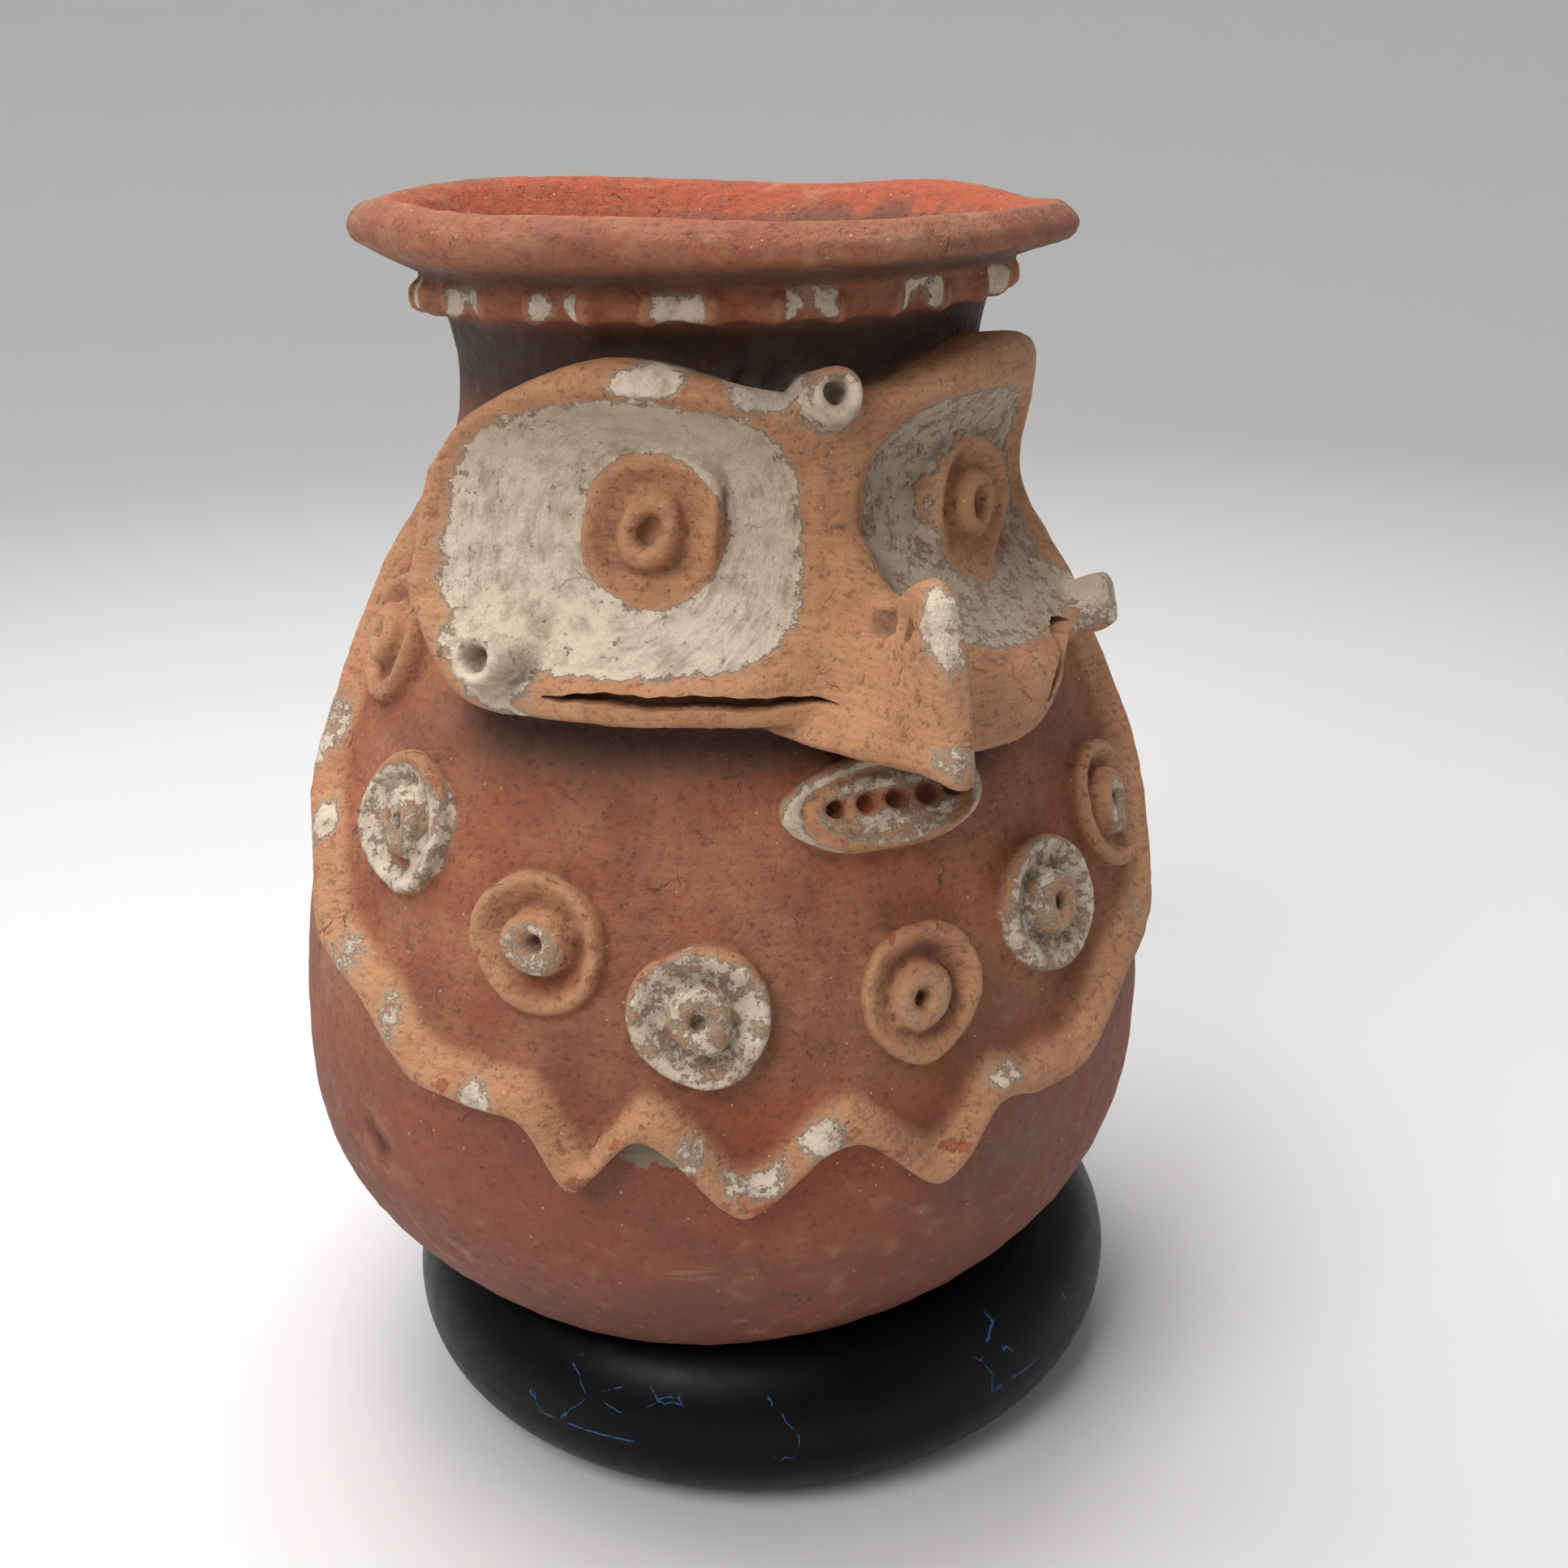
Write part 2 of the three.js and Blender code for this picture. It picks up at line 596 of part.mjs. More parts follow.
// Flat oval outline of the mouth
function oval(halfWidth, halfHeight, count) {
  const points = [];
  for (let i = 0; i < count; i += 1) {
    const turn = (2 * Math.PI * i) / count;
    points.push(new THREE.Vector2(
      halfWidth * signedPower(Math.cos(turn), 0.9),
      halfHeight * signedPower(Math.sin(turn), 0.9),
    ));
  }
  return points;
}

// Bends a shape modelled flat, outwards along +Z, round the wall
function wrapOnWall(geometry, angle, z) {
  const position = geometry.attributes.position;
  const slope = wallSlope(z);
  for (let i = 0; i < position.count; i += 1) {
    const height = z + position.getY(i) * Math.cos(slope);
    const around = THREE.MathUtils.radToDeg(position.getX(i) / wallRadius(z));
    const lifted = height + position.getZ(i) * Math.sin(slope);
    const point = place(angle + around, wallRadius(height) + position.getZ(i) * Math.cos(slope), lifted);
    position.setXYZ(i, point.x, point.y, point.z);
  }
  return geometry;
}

// A flat shape made a slab from the sunk level up to a height over the wall
function slab(shape, height, bevel = 0) {
  const geometry = new THREE.ExtrudeGeometry(shape, {
    depth: height + MOUTH_SINK - 2 * bevel,
    bevelEnabled: bevel > 0,
    bevelThickness: bevel,
    bevelSize: bevel,
    bevelOffset: -bevel,
    bevelSegments: 1,
  });
  geometry.translate(0, 0, bevel - MOUTH_SINK);
  return toSolid(wrapOnWall(geometry, MOUTH_ANGLE, MOUTH_HEIGHT));
}

function mouth() {
  const innerWidth = MOUTH_HALF_WIDTH - MOUTH_LIP;
  const innerHeight = MOUTH_HALF_HEIGHT - MOUTH_LIP;
  const lip = new THREE.Shape(oval(MOUTH_HALF_WIDTH, MOUTH_HALF_HEIGHT, 16));
  lip.holes.push(new THREE.Path(oval(innerWidth, innerHeight + MOUTH_GROOVE, 12)));
  const plate = new THREE.Shape(oval(innerWidth - MOUTH_GROOVE, innerHeight, 12));
  const span = TOOTH_PITCH * (TOOTH_HOLES - 1);
  for (let i = 0; i < TOOTH_HOLES; i += 1) {
    const x = TOOTH_SHIFT - span / 2 + TOOTH_PITCH * i;
    const hole = new THREE.Path().absarc(x, 0, TOOTH_HOLE_RADIUS, 0, 2 * Math.PI);
    plate.holes.push(new THREE.Path(hole.getSpacedPoints(6).slice(0, -1)));
  }
  const backing = new THREE.Shape(oval(MOUTH_HALF_WIDTH - 3, MOUTH_HALF_HEIGHT - 3, 12));
  return slab(lip, MOUTH_STAND, MOUTH_BEVEL).add(slab(plate, MOUTH_STAND - 2)).add(slab(backing, -1));
}

// Open slit at a corner of the mask's mouth
function slit(middle, length, rise) {
  const half = THREE.MathUtils.radToDeg(length / 2 / CHEEK_RADIUS);
  const rows = [];
  for (let i = 0; i <= SLIT_STEPS; i += 1) {
    const share = (2 * i) / SLIT_STEPS - 1;
    const angle = middle + half * share;
    const open = (SLIT_HEIGHT / 2) * (1 - Math.abs(share) ** 3) + 0.6;
    const z = maskBottom(angle) + rise;
    const face = maskRadius(angle, z);
    const at = (out, up) => place(angle, face + out, z + tilted(angle) + up);
    rows.push([
      at(-SLIT_DEPTH, open * 0.6), at(SLIT_CUT_OUT, open),
      at(SLIT_CUT_OUT, -open), at(-SLIT_DEPTH, -open * 0.6),
    ]);
  }
  return loft(rows);
}

function jarSolid() {
  let solid = jarShell().add(fillet()).add(ledge()).add(mask()).add(beak());
  for (const [middle, length, rise] of SLITS) solid = solid.subtract(slit(middle, length, rise));
  for (const [angle, rise, radius, lean] of TUBES) {
    solid = solid.add(tube(angle, EYE_HEIGHT + rise, radius, lean));
  }
  for (const angle of [-EYE_DISC_ANGLE, EYE_DISC_ANGLE]) {
    const floor = maskRadius(angle, EYE_HEIGHT) + 1;
    const z = EYE_HEIGHT + tilted(angle);
    solid = solid.add(disc(EYE_DISC_RADIUS, EYE_HOLE, angle, z, floor, EYE_DISC_LEAN));
  }
  for (const [angle, z] of CHEST_DISCS) solid = solid.add(disc(DISC_RADIUS, KNOB_HOLE, angle, z));
  return solid.add(mouth());
}

function ringSolid() {
  const profile = [];
  for (let i = 0; i <= RING_TUBE_SIDES; i += 1) {
    const turn = (2 * Math.PI * (i + 0.5)) / RING_TUBE_SIDES - Math.PI / 2;
    const reach = RING_TUBE / Math.cos(Math.PI / RING_TUBE_SIDES);
    profile.push([RING_RADIUS + reach * Math.cos(turn), RING_TUBE + reach * Math.sin(turn)]);
  }
  const geometry = turned(profile, RING_SIDES).translate(
    RING_OFFSET * Math.sin(rad(DRIFT_ANGLE)), -RING_OFFSET * Math.cos(rad(DRIFT_ANGLE)), 0,
  );
  return toSolid(geometry).subtract(seatForm());
}

const clay = new THREE.MeshStandardMaterial({ color: 0xa8694a, roughness: 0.85, metalness: 0 });
const coatedFoam = new THREE.MeshStandardMaterial({ color: 0x17181a, roughness: 0.45, metalness: 0 });

const jar = new THREE.Mesh(toGeometry(jarSolid()), clay);
jar.name = 'jar';
const supportRing = new THREE.Mesh(toGeometry(ringSolid()), coatedFoam);
supportRing.name = 'support_ring';

// The origin is under the middle of the whole object, on the floor
const group = new THREE.Group();
group.add(jar, supportRing);
const box = new THREE.Box3().setFromObject(group);
group.position.set(-(box.min.x + box.max.x) / 2, -(box.min.y + box.max.y) / 2, -box.min.z);
group.updateMatrixWorld(true);

export default group;
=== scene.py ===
# Sago storage jar: a hand-built fired-clay face jar with a beak, standing in a black support ring.
# Lengths are metres, and heights are above the floor. An angle goes round the jar in degrees, from
# the face at -Y towards +X, and the jar's axis leans a little as it rises, as a coiled pot's does.

import math

import bpy
import numpy as np
from mathutils import Matrix, Vector, noise, kdtree


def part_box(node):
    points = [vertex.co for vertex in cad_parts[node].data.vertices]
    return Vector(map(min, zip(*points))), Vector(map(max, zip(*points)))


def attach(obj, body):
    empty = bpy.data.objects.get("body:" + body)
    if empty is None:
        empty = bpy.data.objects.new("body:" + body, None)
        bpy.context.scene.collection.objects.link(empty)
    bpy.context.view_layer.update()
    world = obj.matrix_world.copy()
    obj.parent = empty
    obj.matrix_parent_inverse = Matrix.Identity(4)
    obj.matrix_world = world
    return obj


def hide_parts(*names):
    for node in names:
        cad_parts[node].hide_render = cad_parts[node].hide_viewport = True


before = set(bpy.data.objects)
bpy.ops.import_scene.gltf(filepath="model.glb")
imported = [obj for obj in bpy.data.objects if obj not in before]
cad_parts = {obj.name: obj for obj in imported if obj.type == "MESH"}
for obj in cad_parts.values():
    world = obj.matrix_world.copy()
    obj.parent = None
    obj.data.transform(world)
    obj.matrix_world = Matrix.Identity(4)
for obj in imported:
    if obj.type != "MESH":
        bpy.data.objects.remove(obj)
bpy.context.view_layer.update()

bl_info = {
    "name": "Sago storage jar",
    "version": (1, 0, 0),
    "blender": (4, 5, 0),
    "location": "View3D > Sidebar > Sago jar",
    "description": "Models and finishes a hand-built face jar in its support ring",
    "category": "Object",
}

MM = 0.001
RING_LOW, RING_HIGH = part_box("support_ring")

# Lean of the walls: sideways drift for each metre of rise, towards DRIFT_ANGLE
DRIFT = 0.035
DRIFT_ANGLE = math.radians(68.5)
RING_OFFSET = 14.4 * MM
RING_X = (RING_LOW.x + RING_HIGH.x) / 2
RING_Y = (RING_LOW.y + RING_HIGH.y) / 2
AXIS_X = RING_X - RING_OFFSET * math.sin(DRIFT_ANGLE)
AXIS_Y = RING_Y + RING_OFFSET * math.cos(DRIFT_ANGLE)

# Body, neck, collar and rim
JAR_LIFT = 4.8 * MM
WALL = 10 * MM
FLOOR_WALL = 14 * MM
NECK_RADIUS = 119.5 * MM
NECK_HEIGHT = 520 * MM
COLLAR_RADIUS = 136 * MM
COLLAR_STEP = 8 * MM
FILLET_HEIGHT = 560 * MM
FILLET_THICKNESS = 18 * MM
THUMB_PRINTS = 32
FIRST_PRINT_ANGLE = -4
PRINT_DEPTH = 8 * MM
RIM_THICKNESS = 19 * MM
RIM_WIDTH = 20 * MM
RIM_TILT = math.radians(2.1)
RIM_WAVE = 1.2 * MM

# Chest discs: angle, height, and how much of the disc and of its knob is painted
CHEST_DISCS = [
    (-86.6, 410 * MM, 0.0, 0.2),
    (-66.3, 346 * MM, 1.0, 0.8),
    (-42.6, 313 * MM, 0.0, 0.8),
    (-23.0, 286.5 * MM, 0.95, 0.85),
    (2.7, 285.5 * MM, 0.0, 0.55),
    (23.6, 303 * MM, 0.95, 0.7),
    (43.4, 325 * MM, 0.1, 0.8),
]
DISC_STAND = 6 * MM
DISC_LIP = 3.5 * MM
DISC_SINK = 7 * MM
KNOB_RADIUS = 14 * MM
KNOB_STAND = 13 * MM
KNOB_HOLE = 4.5 * MM
EYE_HOLE = 6.5 * MM
KNOB_HOLE_DEPTH = 9 * MM

# Wavy ledge that frames the chest
LEDGE_CENTRE = -7
LEDGE_REACH_LEFT = 103
LEDGE_REACH_RIGHT = 76
LEDGE_SQUARENESS_LEFT = 2
LEDGE_SQUARENESS_RIGHT = 2.3
LEDGE_START = 0.035
LEDGE_END = 0.96
LEDGE_TOP = 515 * MM
LEDGE_LOW = 220 * MM
LEDGE_STAND = 13.5 * MM
LEDGE_SINK = 6 * MM
LEDGE_FADE = 60 * MM
WAVE_HEIGHT = 15.5 * MM
RIPPLE_HEIGHT = 4 * MM
RIPPLE_PITCH = 80 * MM

# Runs along the ledge, from the middle of the face, where it dips and rises in turn
WAVE_TURNS = np.array([-134, -112, -67, -26, 14]) * MM

# Mask with its two eye dishes, placed by the height of its eyes; its two sides differ
EYE_HEIGHT = 470 * MM
MASK_TOP = EYE_HEIGHT + 74 * MM
MASK_BOTTOM = EYE_HEIGHT - 70 * MM
MASK_HALF_LEFT = 70
MASK_HALF_RIGHT = 64
MASK_TILT = -0.045
MASK_LIP = 8 * MM
BROW_DIP = 20 * MM
BROW_DROP_LEFT = 6 * MM
SHOULDER_ANGLE = 40
SHOULDER_LEFT = 36 * MM
SHOULDER_RIGHT = 10 * MM
SHOULDER_CORNER = 12 * MM
JAW_DROOP = 17 * MM
JAW_BULGE = 8 * MM
JAW_RISE = 27 * MM
CHEEK_RISE = 48 * MM
CHEEK_RADIUS = 190 * MM
CHEEK_FLATNESS = 25 * MM
CHEEK_FLAT_HEIGHT = 45 * MM
BROW_RADIUS = 149 * MM
RIDGE_RADIUS = 143 * MM
RIDGE_FLARE = 26 * MM
RIDGE_SET_BACK = 46 * MM
DISH_ANGLE_LEFT = -35.5
DISH_ANGLE_RIGHT = 30
DISH_HALF_LEFT = 32
DISH_HALF_RIGHT = 27
DISH_HALF_HEIGHT = 57 * MM
DISH_SQUARENESS = 2.7
DISH_DEPTH = 36 * MM
EYE_DISC_ANGLE = 31.5
EYE_DISC_LEAN = 0.1

# Beak: at shares of its reach, its top and bottom over the eyes, and its half-width at the top,
# middle and bottom, in mm
BEAK_TURN = math.radians(1.2)
BEAK_SECTIONS = np.array([
    (0.52, 12, -76, 8, 20, 58),
    (0.6, -7, -78, 9, 25, 54),
    (0.67, -17, -79, 9, 26, 48),
    (0.74, -18, -80, 8, 21, 39),
    (0.81, -12, -81, 7, 14, 28),
    (0.855, -5, -81, 7, 11, 21),
    (0.89, -4, -80, 6.5, 9.5, 17),
    (0.925, -14, -79, 6.5, 8.5, 13),
    (0.965, -38, -79, 6, 7, 9),
    (1, -69, -80, 3.5, 4, 4),
])

# Tubes on the cheeks and brow: angle, height over the eyes, radius out and lean
TUBE_RADIUS = 11.5 * MM
TUBE_LENGTH = 20 * MM
TUBE_BORE = 6 * MM
TUBES = [
    (-50, -45 * MM, CHEEK_RADIUS - 1 * MM, 0.35),
    (50, -52 * MM, CHEEK_RADIUS - 7 * MM, 0.35),
    (-2, 54 * MM, RIDGE_RADIUS + 2 * MM, 0.3),
]

# Mouth slits: the angle of each one's middle, its length and its rise over the mask's lower edge
SLIT_OPENING = 5 * MM
SLIT_DEPTH = 12 * MM
SLITS = [(-24.5, 122 * MM, 11 * MM), (32.5, 56 * MM, 8 * MM)]

# Toothed oval under the beak
MOUTH_ANGLE = 1.7
MOUTH_HEIGHT = EYE_HEIGHT - 108 * MM
MOUTH_HALF_WIDTH = 47 * MM
MOUTH_HALF_HEIGHT = 21.5 * MM
MOUTH_SINK = 6 * MM
TOOTH_HOLES = 5
TOOTH_HOLE_RADIUS = 4.5 * MM
TOOTH_PITCH = 13.5 * MM
TOOTH_SHIFT = 4 * MM
TOOTH_SIDES = 20

SEAT_GAP = 0.3 * MM
SEAM_HEIGHT = 44 * MM

# Patches left by hand and by age: angle, height, half-width, half-height in mm, and strength
FACE_PAINT = [
    (-31, 534.5, 15, 6, 1), (-55, 440, 17, 18, 0.85), (-50, 421, 17, 15, 0.85), (-2, 523, 15, 13, 0.8),
    (49, 420, 14, 15, 0.7), (0.5, 402, 8, 8, 0.5), (-47, 405, 16, 7, 0.55), (43, 408, 16, 6, 0.55),
]
BLADE_PAINT = [(0.8, 452, 9, 20, 0.66)]
LEDGE_PAINT = [
    (-48, 249, 9, 8, 0.9), (-23.5, 232, 11, 9, 0.8), (-17, 222, 16, 14, 0.85), (-10, 236, 13, 10, 0.9),
    (12.5, 244, 12, 9, 0.75), (20, 254, 12, 11, 0.75), (-94, 364, 12, 20, 0.7), (-84, 336, 10, 16, 0.85),
    (-70.4, 290, 12, 14, 0.75), (-60.8, 275, 7, 16, 0.8), (42, 280, 10, 18, 0.5),
]
SCAR_PAINT = [(-12, 530, 19, 10, 0.8)]
ORANGE_CHIPS = [
    (-35.3, 217, 10, 6, 0.8), (-17, 209, 10, 6, 1), (-3.5, 223, 22, 4, 0.8), (5.9, 216, 10, 4, 0.8),
    (-48, 243, 9, 4, 0.8), (-52, 250, 6, 5, 0.7), (1, 520, 3, 2.5, 1), (-23, 270, 8, 4, 0.7),
    (24, 283, 6, 4, 0.6), (27, 300, 3, 3, 0.8), (-66, 320, 5, 4, 0.7), (-24, 222, 6, 5, 0.8),
]
GREY_REPAIR = [(-28, 226, 17, 8, 1)]
SMOKE = [(18.7, 200, 34, 20, 0.5), (31, 212, 30, 20, 0.45), (12, 184, 24, 14, 0.35)]
SCRAPES = [(-25, 164, 14, 5, 0.5), (-12, 178, 5, 12, 0.3)]

# Dents: angle, distance from the axis (0 is the wall's), height, reach and depth, in mm
DENTS = [
    (-1.1, 215, 446, 5, 7), (-1.3, 195, 446, 15, 5), (-15, 120, 531, 6, 5), (-9, 121, 529, 6, 5),
    (-67.2, 0, 195, 9, 3), (-69, 0, 203, 6, 2.5), (-60.8, 0, 147, 7, 2.5), (-58, 0, 143, 6, 2),
    (33, 141, 500, 7, 1.5), (-36, 0, 170, 4, 1.5), (-6, 0, 195, 4, 2),
]

# Places on the ring where the coat has cracked: angle, height, half-width, half-height, strength
RING_CRACKS = [
    (-45.2, 60, 10, 16, 1), (-38.2, 62, 6, 12, 0.9), (-29.6, 60, 9, 20, 1), (-12.3, 58, 9, 18, 1),
    (20.8, 62, 12, 18, 1), (39.7, 57, 9, 12, 0.8), (-52, 50, 10, 8, 0.7),
]
RING_SEAM_CRACKS = [(-42, 44, 40, 6, 1), (25, 47, 24, 6, 1), (-8, 44, 14, 6, 0.7)]


def linear(hex_colour):
    """A hex sRGB colour as a linear colour with alpha."""
    channels = [int(hex_colour[i:i + 2], 16) / 255 for i in (1, 3, 5)]
    return [c / 12.92 if c <= 0.04045 else ((c + 0.055) / 1.055) ** 2.4 for c in channels] + [1]


def length(name, description, default):
    """A length property in metres."""
    return bpy.props.FloatProperty(
        name=name, description=description, default=default, min=0, unit="LENGTH", subtype="DISTANCE"
    )


def colour(name, description, hex_colour):
    """A colour property from a hex sRGB value."""
    return bpy.props.FloatVectorProperty(
        name=name, description=description, default=linear(hex_colour), size=4, min=0, max=1,
        subtype="COLOR",
    )


class JarSizes(bpy.types.PropertyGroup):
    height: length("Height", "Height of the jar over its underside", 592 * MM)
    belly_radius: length("Belly radius", "Radius of the belly", 215.6 * MM)
    belly_height: length("Belly height", "Height of the widest place over the floor", 206 * MM)
    rim_radius: length("Rim radius", "Outer radius of the rim", 165 * MM)
    fillet_radius: length("Fillet radius", "Outer radius of the thumb-pressed fillet", 142 * MM)
    disc_radius: length("Disc radius", "Radius of a chest disc", 30 * MM)
    eye_disc_radius: length("Eye disc radius", "Radius of an eye disc", 31 * MM)
    beak_reach: length("Beak reach", "Reach of the beak's tip from the axis", 252 * MM)
    voxel: length("Clay grain", "Cell size that the clay pieces are pressed together at", 2 * MM)


class ClayColours(bpy.types.PropertyGroup):
    slip: colour("Slip", "Red iron slip of the body", "#9c5032")
    slip_dull: colour("Dull slip", "Browner patches of the slip", "#864b33")
    # Painted shade: this colour darkens the slip towards the bottom of the belly
    shaded_low_slip: colour("Shaded low slip", "Slip darkened to purple-brown as painted shade where the belly turns under", "#6b3826")
    bare: colour("Bare clay", "Buff clay of the applied pieces", "#cb946a")
    buff: colour("Worn edge", "Pale clay where edges are rubbed", "#b98762")
    inside: colour("Inside", "Bright orange-red of the mouth's inside", "#b4532f")
    paint: colour("Paint", "Lime and clay paint", "#e3d0b9")
    # The real grey of thinly laid paint, also laid on as painted shade in the eye dishes
    grey_and_shaded_paint: colour("Thin paint", "Paint where it is thin and grey", "#b3a08a")
    repair: colour("Repair", "Grey filler of an old repair", "#8d7f69")
    chip: colour("Chip", "Fresh orange clay at a chipped edge", "#b4552f")
    # This colour is painted shade in the hollows, under the collar and under the jaw; it also darkens the
    # fine cracks.
    shade: colour("Painted shade", "Painted shade in the hollows, under the collar and jaw, and the dark of the cracks", "#2e1b12")
    smoke: colour("Smoke", "Blue-grey smoke of the firing", "#6f6159")


class RingSettings(bpy.types.PropertyGroup):
    ring_radius: length("Ring radius", "Radius of the middle of the ring's tube", 144.2 * MM)
    tube_radius: length("Tube radius", "Radius of the ring's tube", 44.7 * MM)
    skin: colour("Skin", "Black coat of the ring", "#060607")
    scuff: colour("Scuff", "Greyer black where the coat is rubbed", "#0f0f10")
    scratch: colour("Scratch", "Blue that shows in the scratches", "#2f679c")


class StageSettings(bpy.types.PropertyGroup):
    camera_place: bpy.props.FloatVectorProperty(
        name="Camera place", description="Where the camera stands", size=3, unit="LENGTH",
        subtype="TRANSLATION", default=(RING_X - 298.6 * MM, RING_Y - 815.4 * MM, 641.1 * MM),
    )
    lens: bpy.props.FloatProperty(
        name="Lens", description="Focal length in millimetres", default=41.63, min=1
    )
    floor: colour("Floor", "Seamless paper of the floor", "#dedddc")
    key_power: bpy.props.FloatProperty(
        name="Key power", description="Power of the large soft light", default=30, min=0, unit="POWER"
    )
    top_power: bpy.props.FloatProperty(
        name="Top power", description="Power of the soft light overhead", default=66, min=0, unit="POWER"
    )
    fill_power: bpy.props.FloatProperty(
        name="Fill power", description="Power of the soft fill light", default=1.5, min=0, unit="POWER"
    )


def step(value, low, high):
    """A smooth step from 0 at low to 1 at high."""
    share = np.clip((value - low) / (high - low), 0, 1)
    return share * share * (3 - 2 * share)


def inside(distance, soft):
    """1 inside an edge, 0 outside it, with a soft step across it."""
    return 1 - step(distance, -soft, soft)


def mix(a, b, share):
    """The value that is a share of the way from a to b."""
    return a + (b - a) * share


def signed_power(value, exponent):
    """A power that keeps the sign."""
    return np.sign(value) * np.abs(value) ** exponent


def flow(at, stations, values):
    """A smooth curve through values at stations."""
    stations, values = np.asarray(stations, float), np.asarray(values, float)
    slopes = np.gradient(values, stations)
    i = np.clip(np.searchsorted(stations, at, side="right") - 1, 0, len(stations) - 2)
    span = stations[i + 1] - stations[i]
    t = np.clip((at - stations[i]) / span, 0, 1)
    bend = values[i] * (1 + 2 * t) * (1 - t) ** 2 + values[i + 1] * t * t * (3 - 2 * t)
    return bend + span * (slopes[i] * t * (1 - t) ** 2 - slopes[i + 1] * t * t * (1 - t))


def wall_radius(z):
    """Radius of the jar's outer wall at a height, up to the collar."""
    sizes = bpy.context.scene.jar_sizes
    z = np.asarray(z, float)
    rise = np.clip((z - JAR_LIFT) / (sizes.belly_height - JAR_LIFT), 0, 1)
    climb = np.clip((z - sizes.belly_height) / (NECK_HEIGHT - sizes.belly_height), 0, 1)
    below = sizes.belly_radius * (1 - (1 - rise) ** 2.5) ** 0.92
    above = NECK_RADIUS + (sizes.belly_radius - NECK_RADIUS) * (1 - climb ** 2.2) ** 1.89
    flare = np.clip((z - NECK_HEIGHT) / (FILLET_HEIGHT - NECK_HEIGHT), 0, 1)
    flared = above + (COLLAR_RADIUS - COLLAR_STEP - NECK_RADIUS) * flare ** 2
    return np.where(z <= sizes.belly_height, below, flared)


def wall_slope(z):
    """How far the wall's outward normal turns up from level, in radians."""
    reach = 8 * MM
    return np.arctan2(wall_radius(z - reach) - wall_radius(z + reach), 2 * reach)


def place(angle, radius, z):
    """Points at angles round the jar, radii from its axis and heights."""
    angle, radius, z = np.broadcast_arrays(np.asarray(angle, float), radius, z)
    drift = DRIFT * (z - bpy.context.scene.jar_sizes.belly_height)
    turn = np.radians(angle)
    x = AXIS_X + radius * np.sin(turn) + drift * math.sin(DRIFT_ANGLE)
    y = AXIS_Y - radius * np.cos(turn) - drift * math.cos(DRIFT_ANGLE)
    return np.stack([x, y, z], axis=-1)


def locate(points):
    """The angle, radius and height of points: the reverse of place."""
    z = points[:, 2]
    drift = DRIFT * (z - bpy.context.scene.jar_sizes.belly_height)
    x = points[:, 0] - AXIS_X - drift * math.sin(DRIFT_ANGLE)
    y = points[:, 1] - AXIS_Y + drift * math.cos(DRIFT_ANGLE)
    return np.degrees(np.arctan2(x, -y)), np.hypot(x, y), z


def deselect():
    """Leaves nothing selected, and Blender in object mode."""
    if bpy.context.object and bpy.context.object.mode != "OBJECT":
        bpy.ops.object.mode_set(mode="OBJECT")
    bpy.ops.object.select_all(action="DESELECT")


def read_points(piece):
    """The piece's vertices as an array."""
    points = np.empty(len(piece.data.vertices) * 3, np.float32)
    piece.data.vertices.foreach_get("co", points)
    return points.reshape(-1, 3).astype(float)


def read_normals(piece):
    """The piece's vertex normals as an array."""
    normals = np.empty(len(piece.data.vertices) * 3, np.float32)
    piece.data.vertices.foreach_get("normal", normals)
    return normals.reshape(-1, 3).astype(float)


def write_fields(piece, fields):
    """Writes values for every vertex under their names, for the finish to read."""
    for name, values in fields.items():
        layer = piece.data.attributes.new(name, "FLOAT", "POINT")
        layer.data.foreach_set("value", np.asarray(values, np.float32))


def write_points(piece, points):
    """Moves the piece's vertices to an array of places."""
    piece.data.vertices.foreach_set("co", np.ascontiguousarray(points, np.float32).ravel())
    piece.data.update()


def turn_outwards(piece):
    """Turns every face of a closed piece outwards."""
    deselect()
    piece.select_set(True)
    bpy.context.view_layer.objects.active = piece
    bpy.ops.object.mode_set(mode="EDIT")
    bpy.ops.mesh.select_all(action="SELECT")
    bpy.ops.mesh.normals_make_consistent(inside=False)
    bpy.ops.object.mode_set(mode="OBJECT")


def throw(name, profile, sides):
    """Raises a turned form ring by ring, as on a wheel, from [radius, height] pairs."""
    deselect()
    radius, z = profile[0]
    bpy.ops.mesh.primitive_circle_add(
        vertices=sides, radius=radius, fill_type="NGON", location=(0, 0, z)
    )
    piece = bpy.context.object
    piece.name = name
    bpy.ops.object.transform_apply(location=True, rotation=True, scale=True)
    bpy.ops.object.mode_set(mode="EDIT")
    bpy.ops.mesh.select_all(action="SELECT")
    for next_radius, next_z in profile[1:]:
        bpy.ops.mesh.extrude_region_move(TRANSFORM_OT_translate={"value": (0, 0, next_z - z)})
        widen = next_radius / radius
        bpy.ops.transform.resize(value=(widen, widen, 1))
        radius, z = next_radius, next_z
    bpy.ops.object.mode_set(mode="OBJECT")
    turn_outwards(piece)
    return piece


def slab(name, columns, rows, front, back):
    """Rolls out a slab of clay and presses its two sides to shape.

    front and back take two arrays, across and up, from 0 to 1, and give arrays of points.
    """
    deselect()
    bpy.ops.mesh.primitive_grid_add(x_subdivisions=columns, y_subdivisions=rows, size=2)
    piece = bpy.context.object
    piece.name = name
    bpy.ops.object.mode_set(mode="EDIT")
    bpy.ops.mesh.select_all(action="SELECT")
    bpy.ops.mesh.extrude_region_move(TRANSFORM_OT_translate={"value": (0, 0, 1)})
    bpy.ops.object.mode_set(mode="OBJECT")
    points = read_points(piece)
    across, up = (points[:, 0] + 1) / 2, (points[:, 1] + 1) / 2
    is_front = points[:, 2] > 0.5
    points[is_front] = front(across[is_front], up[is_front])
    points[~is_front] = back(across[~is_front], up[~is_front])
    write_points(piece, points)
    turn_outwards(piece)
    return piece


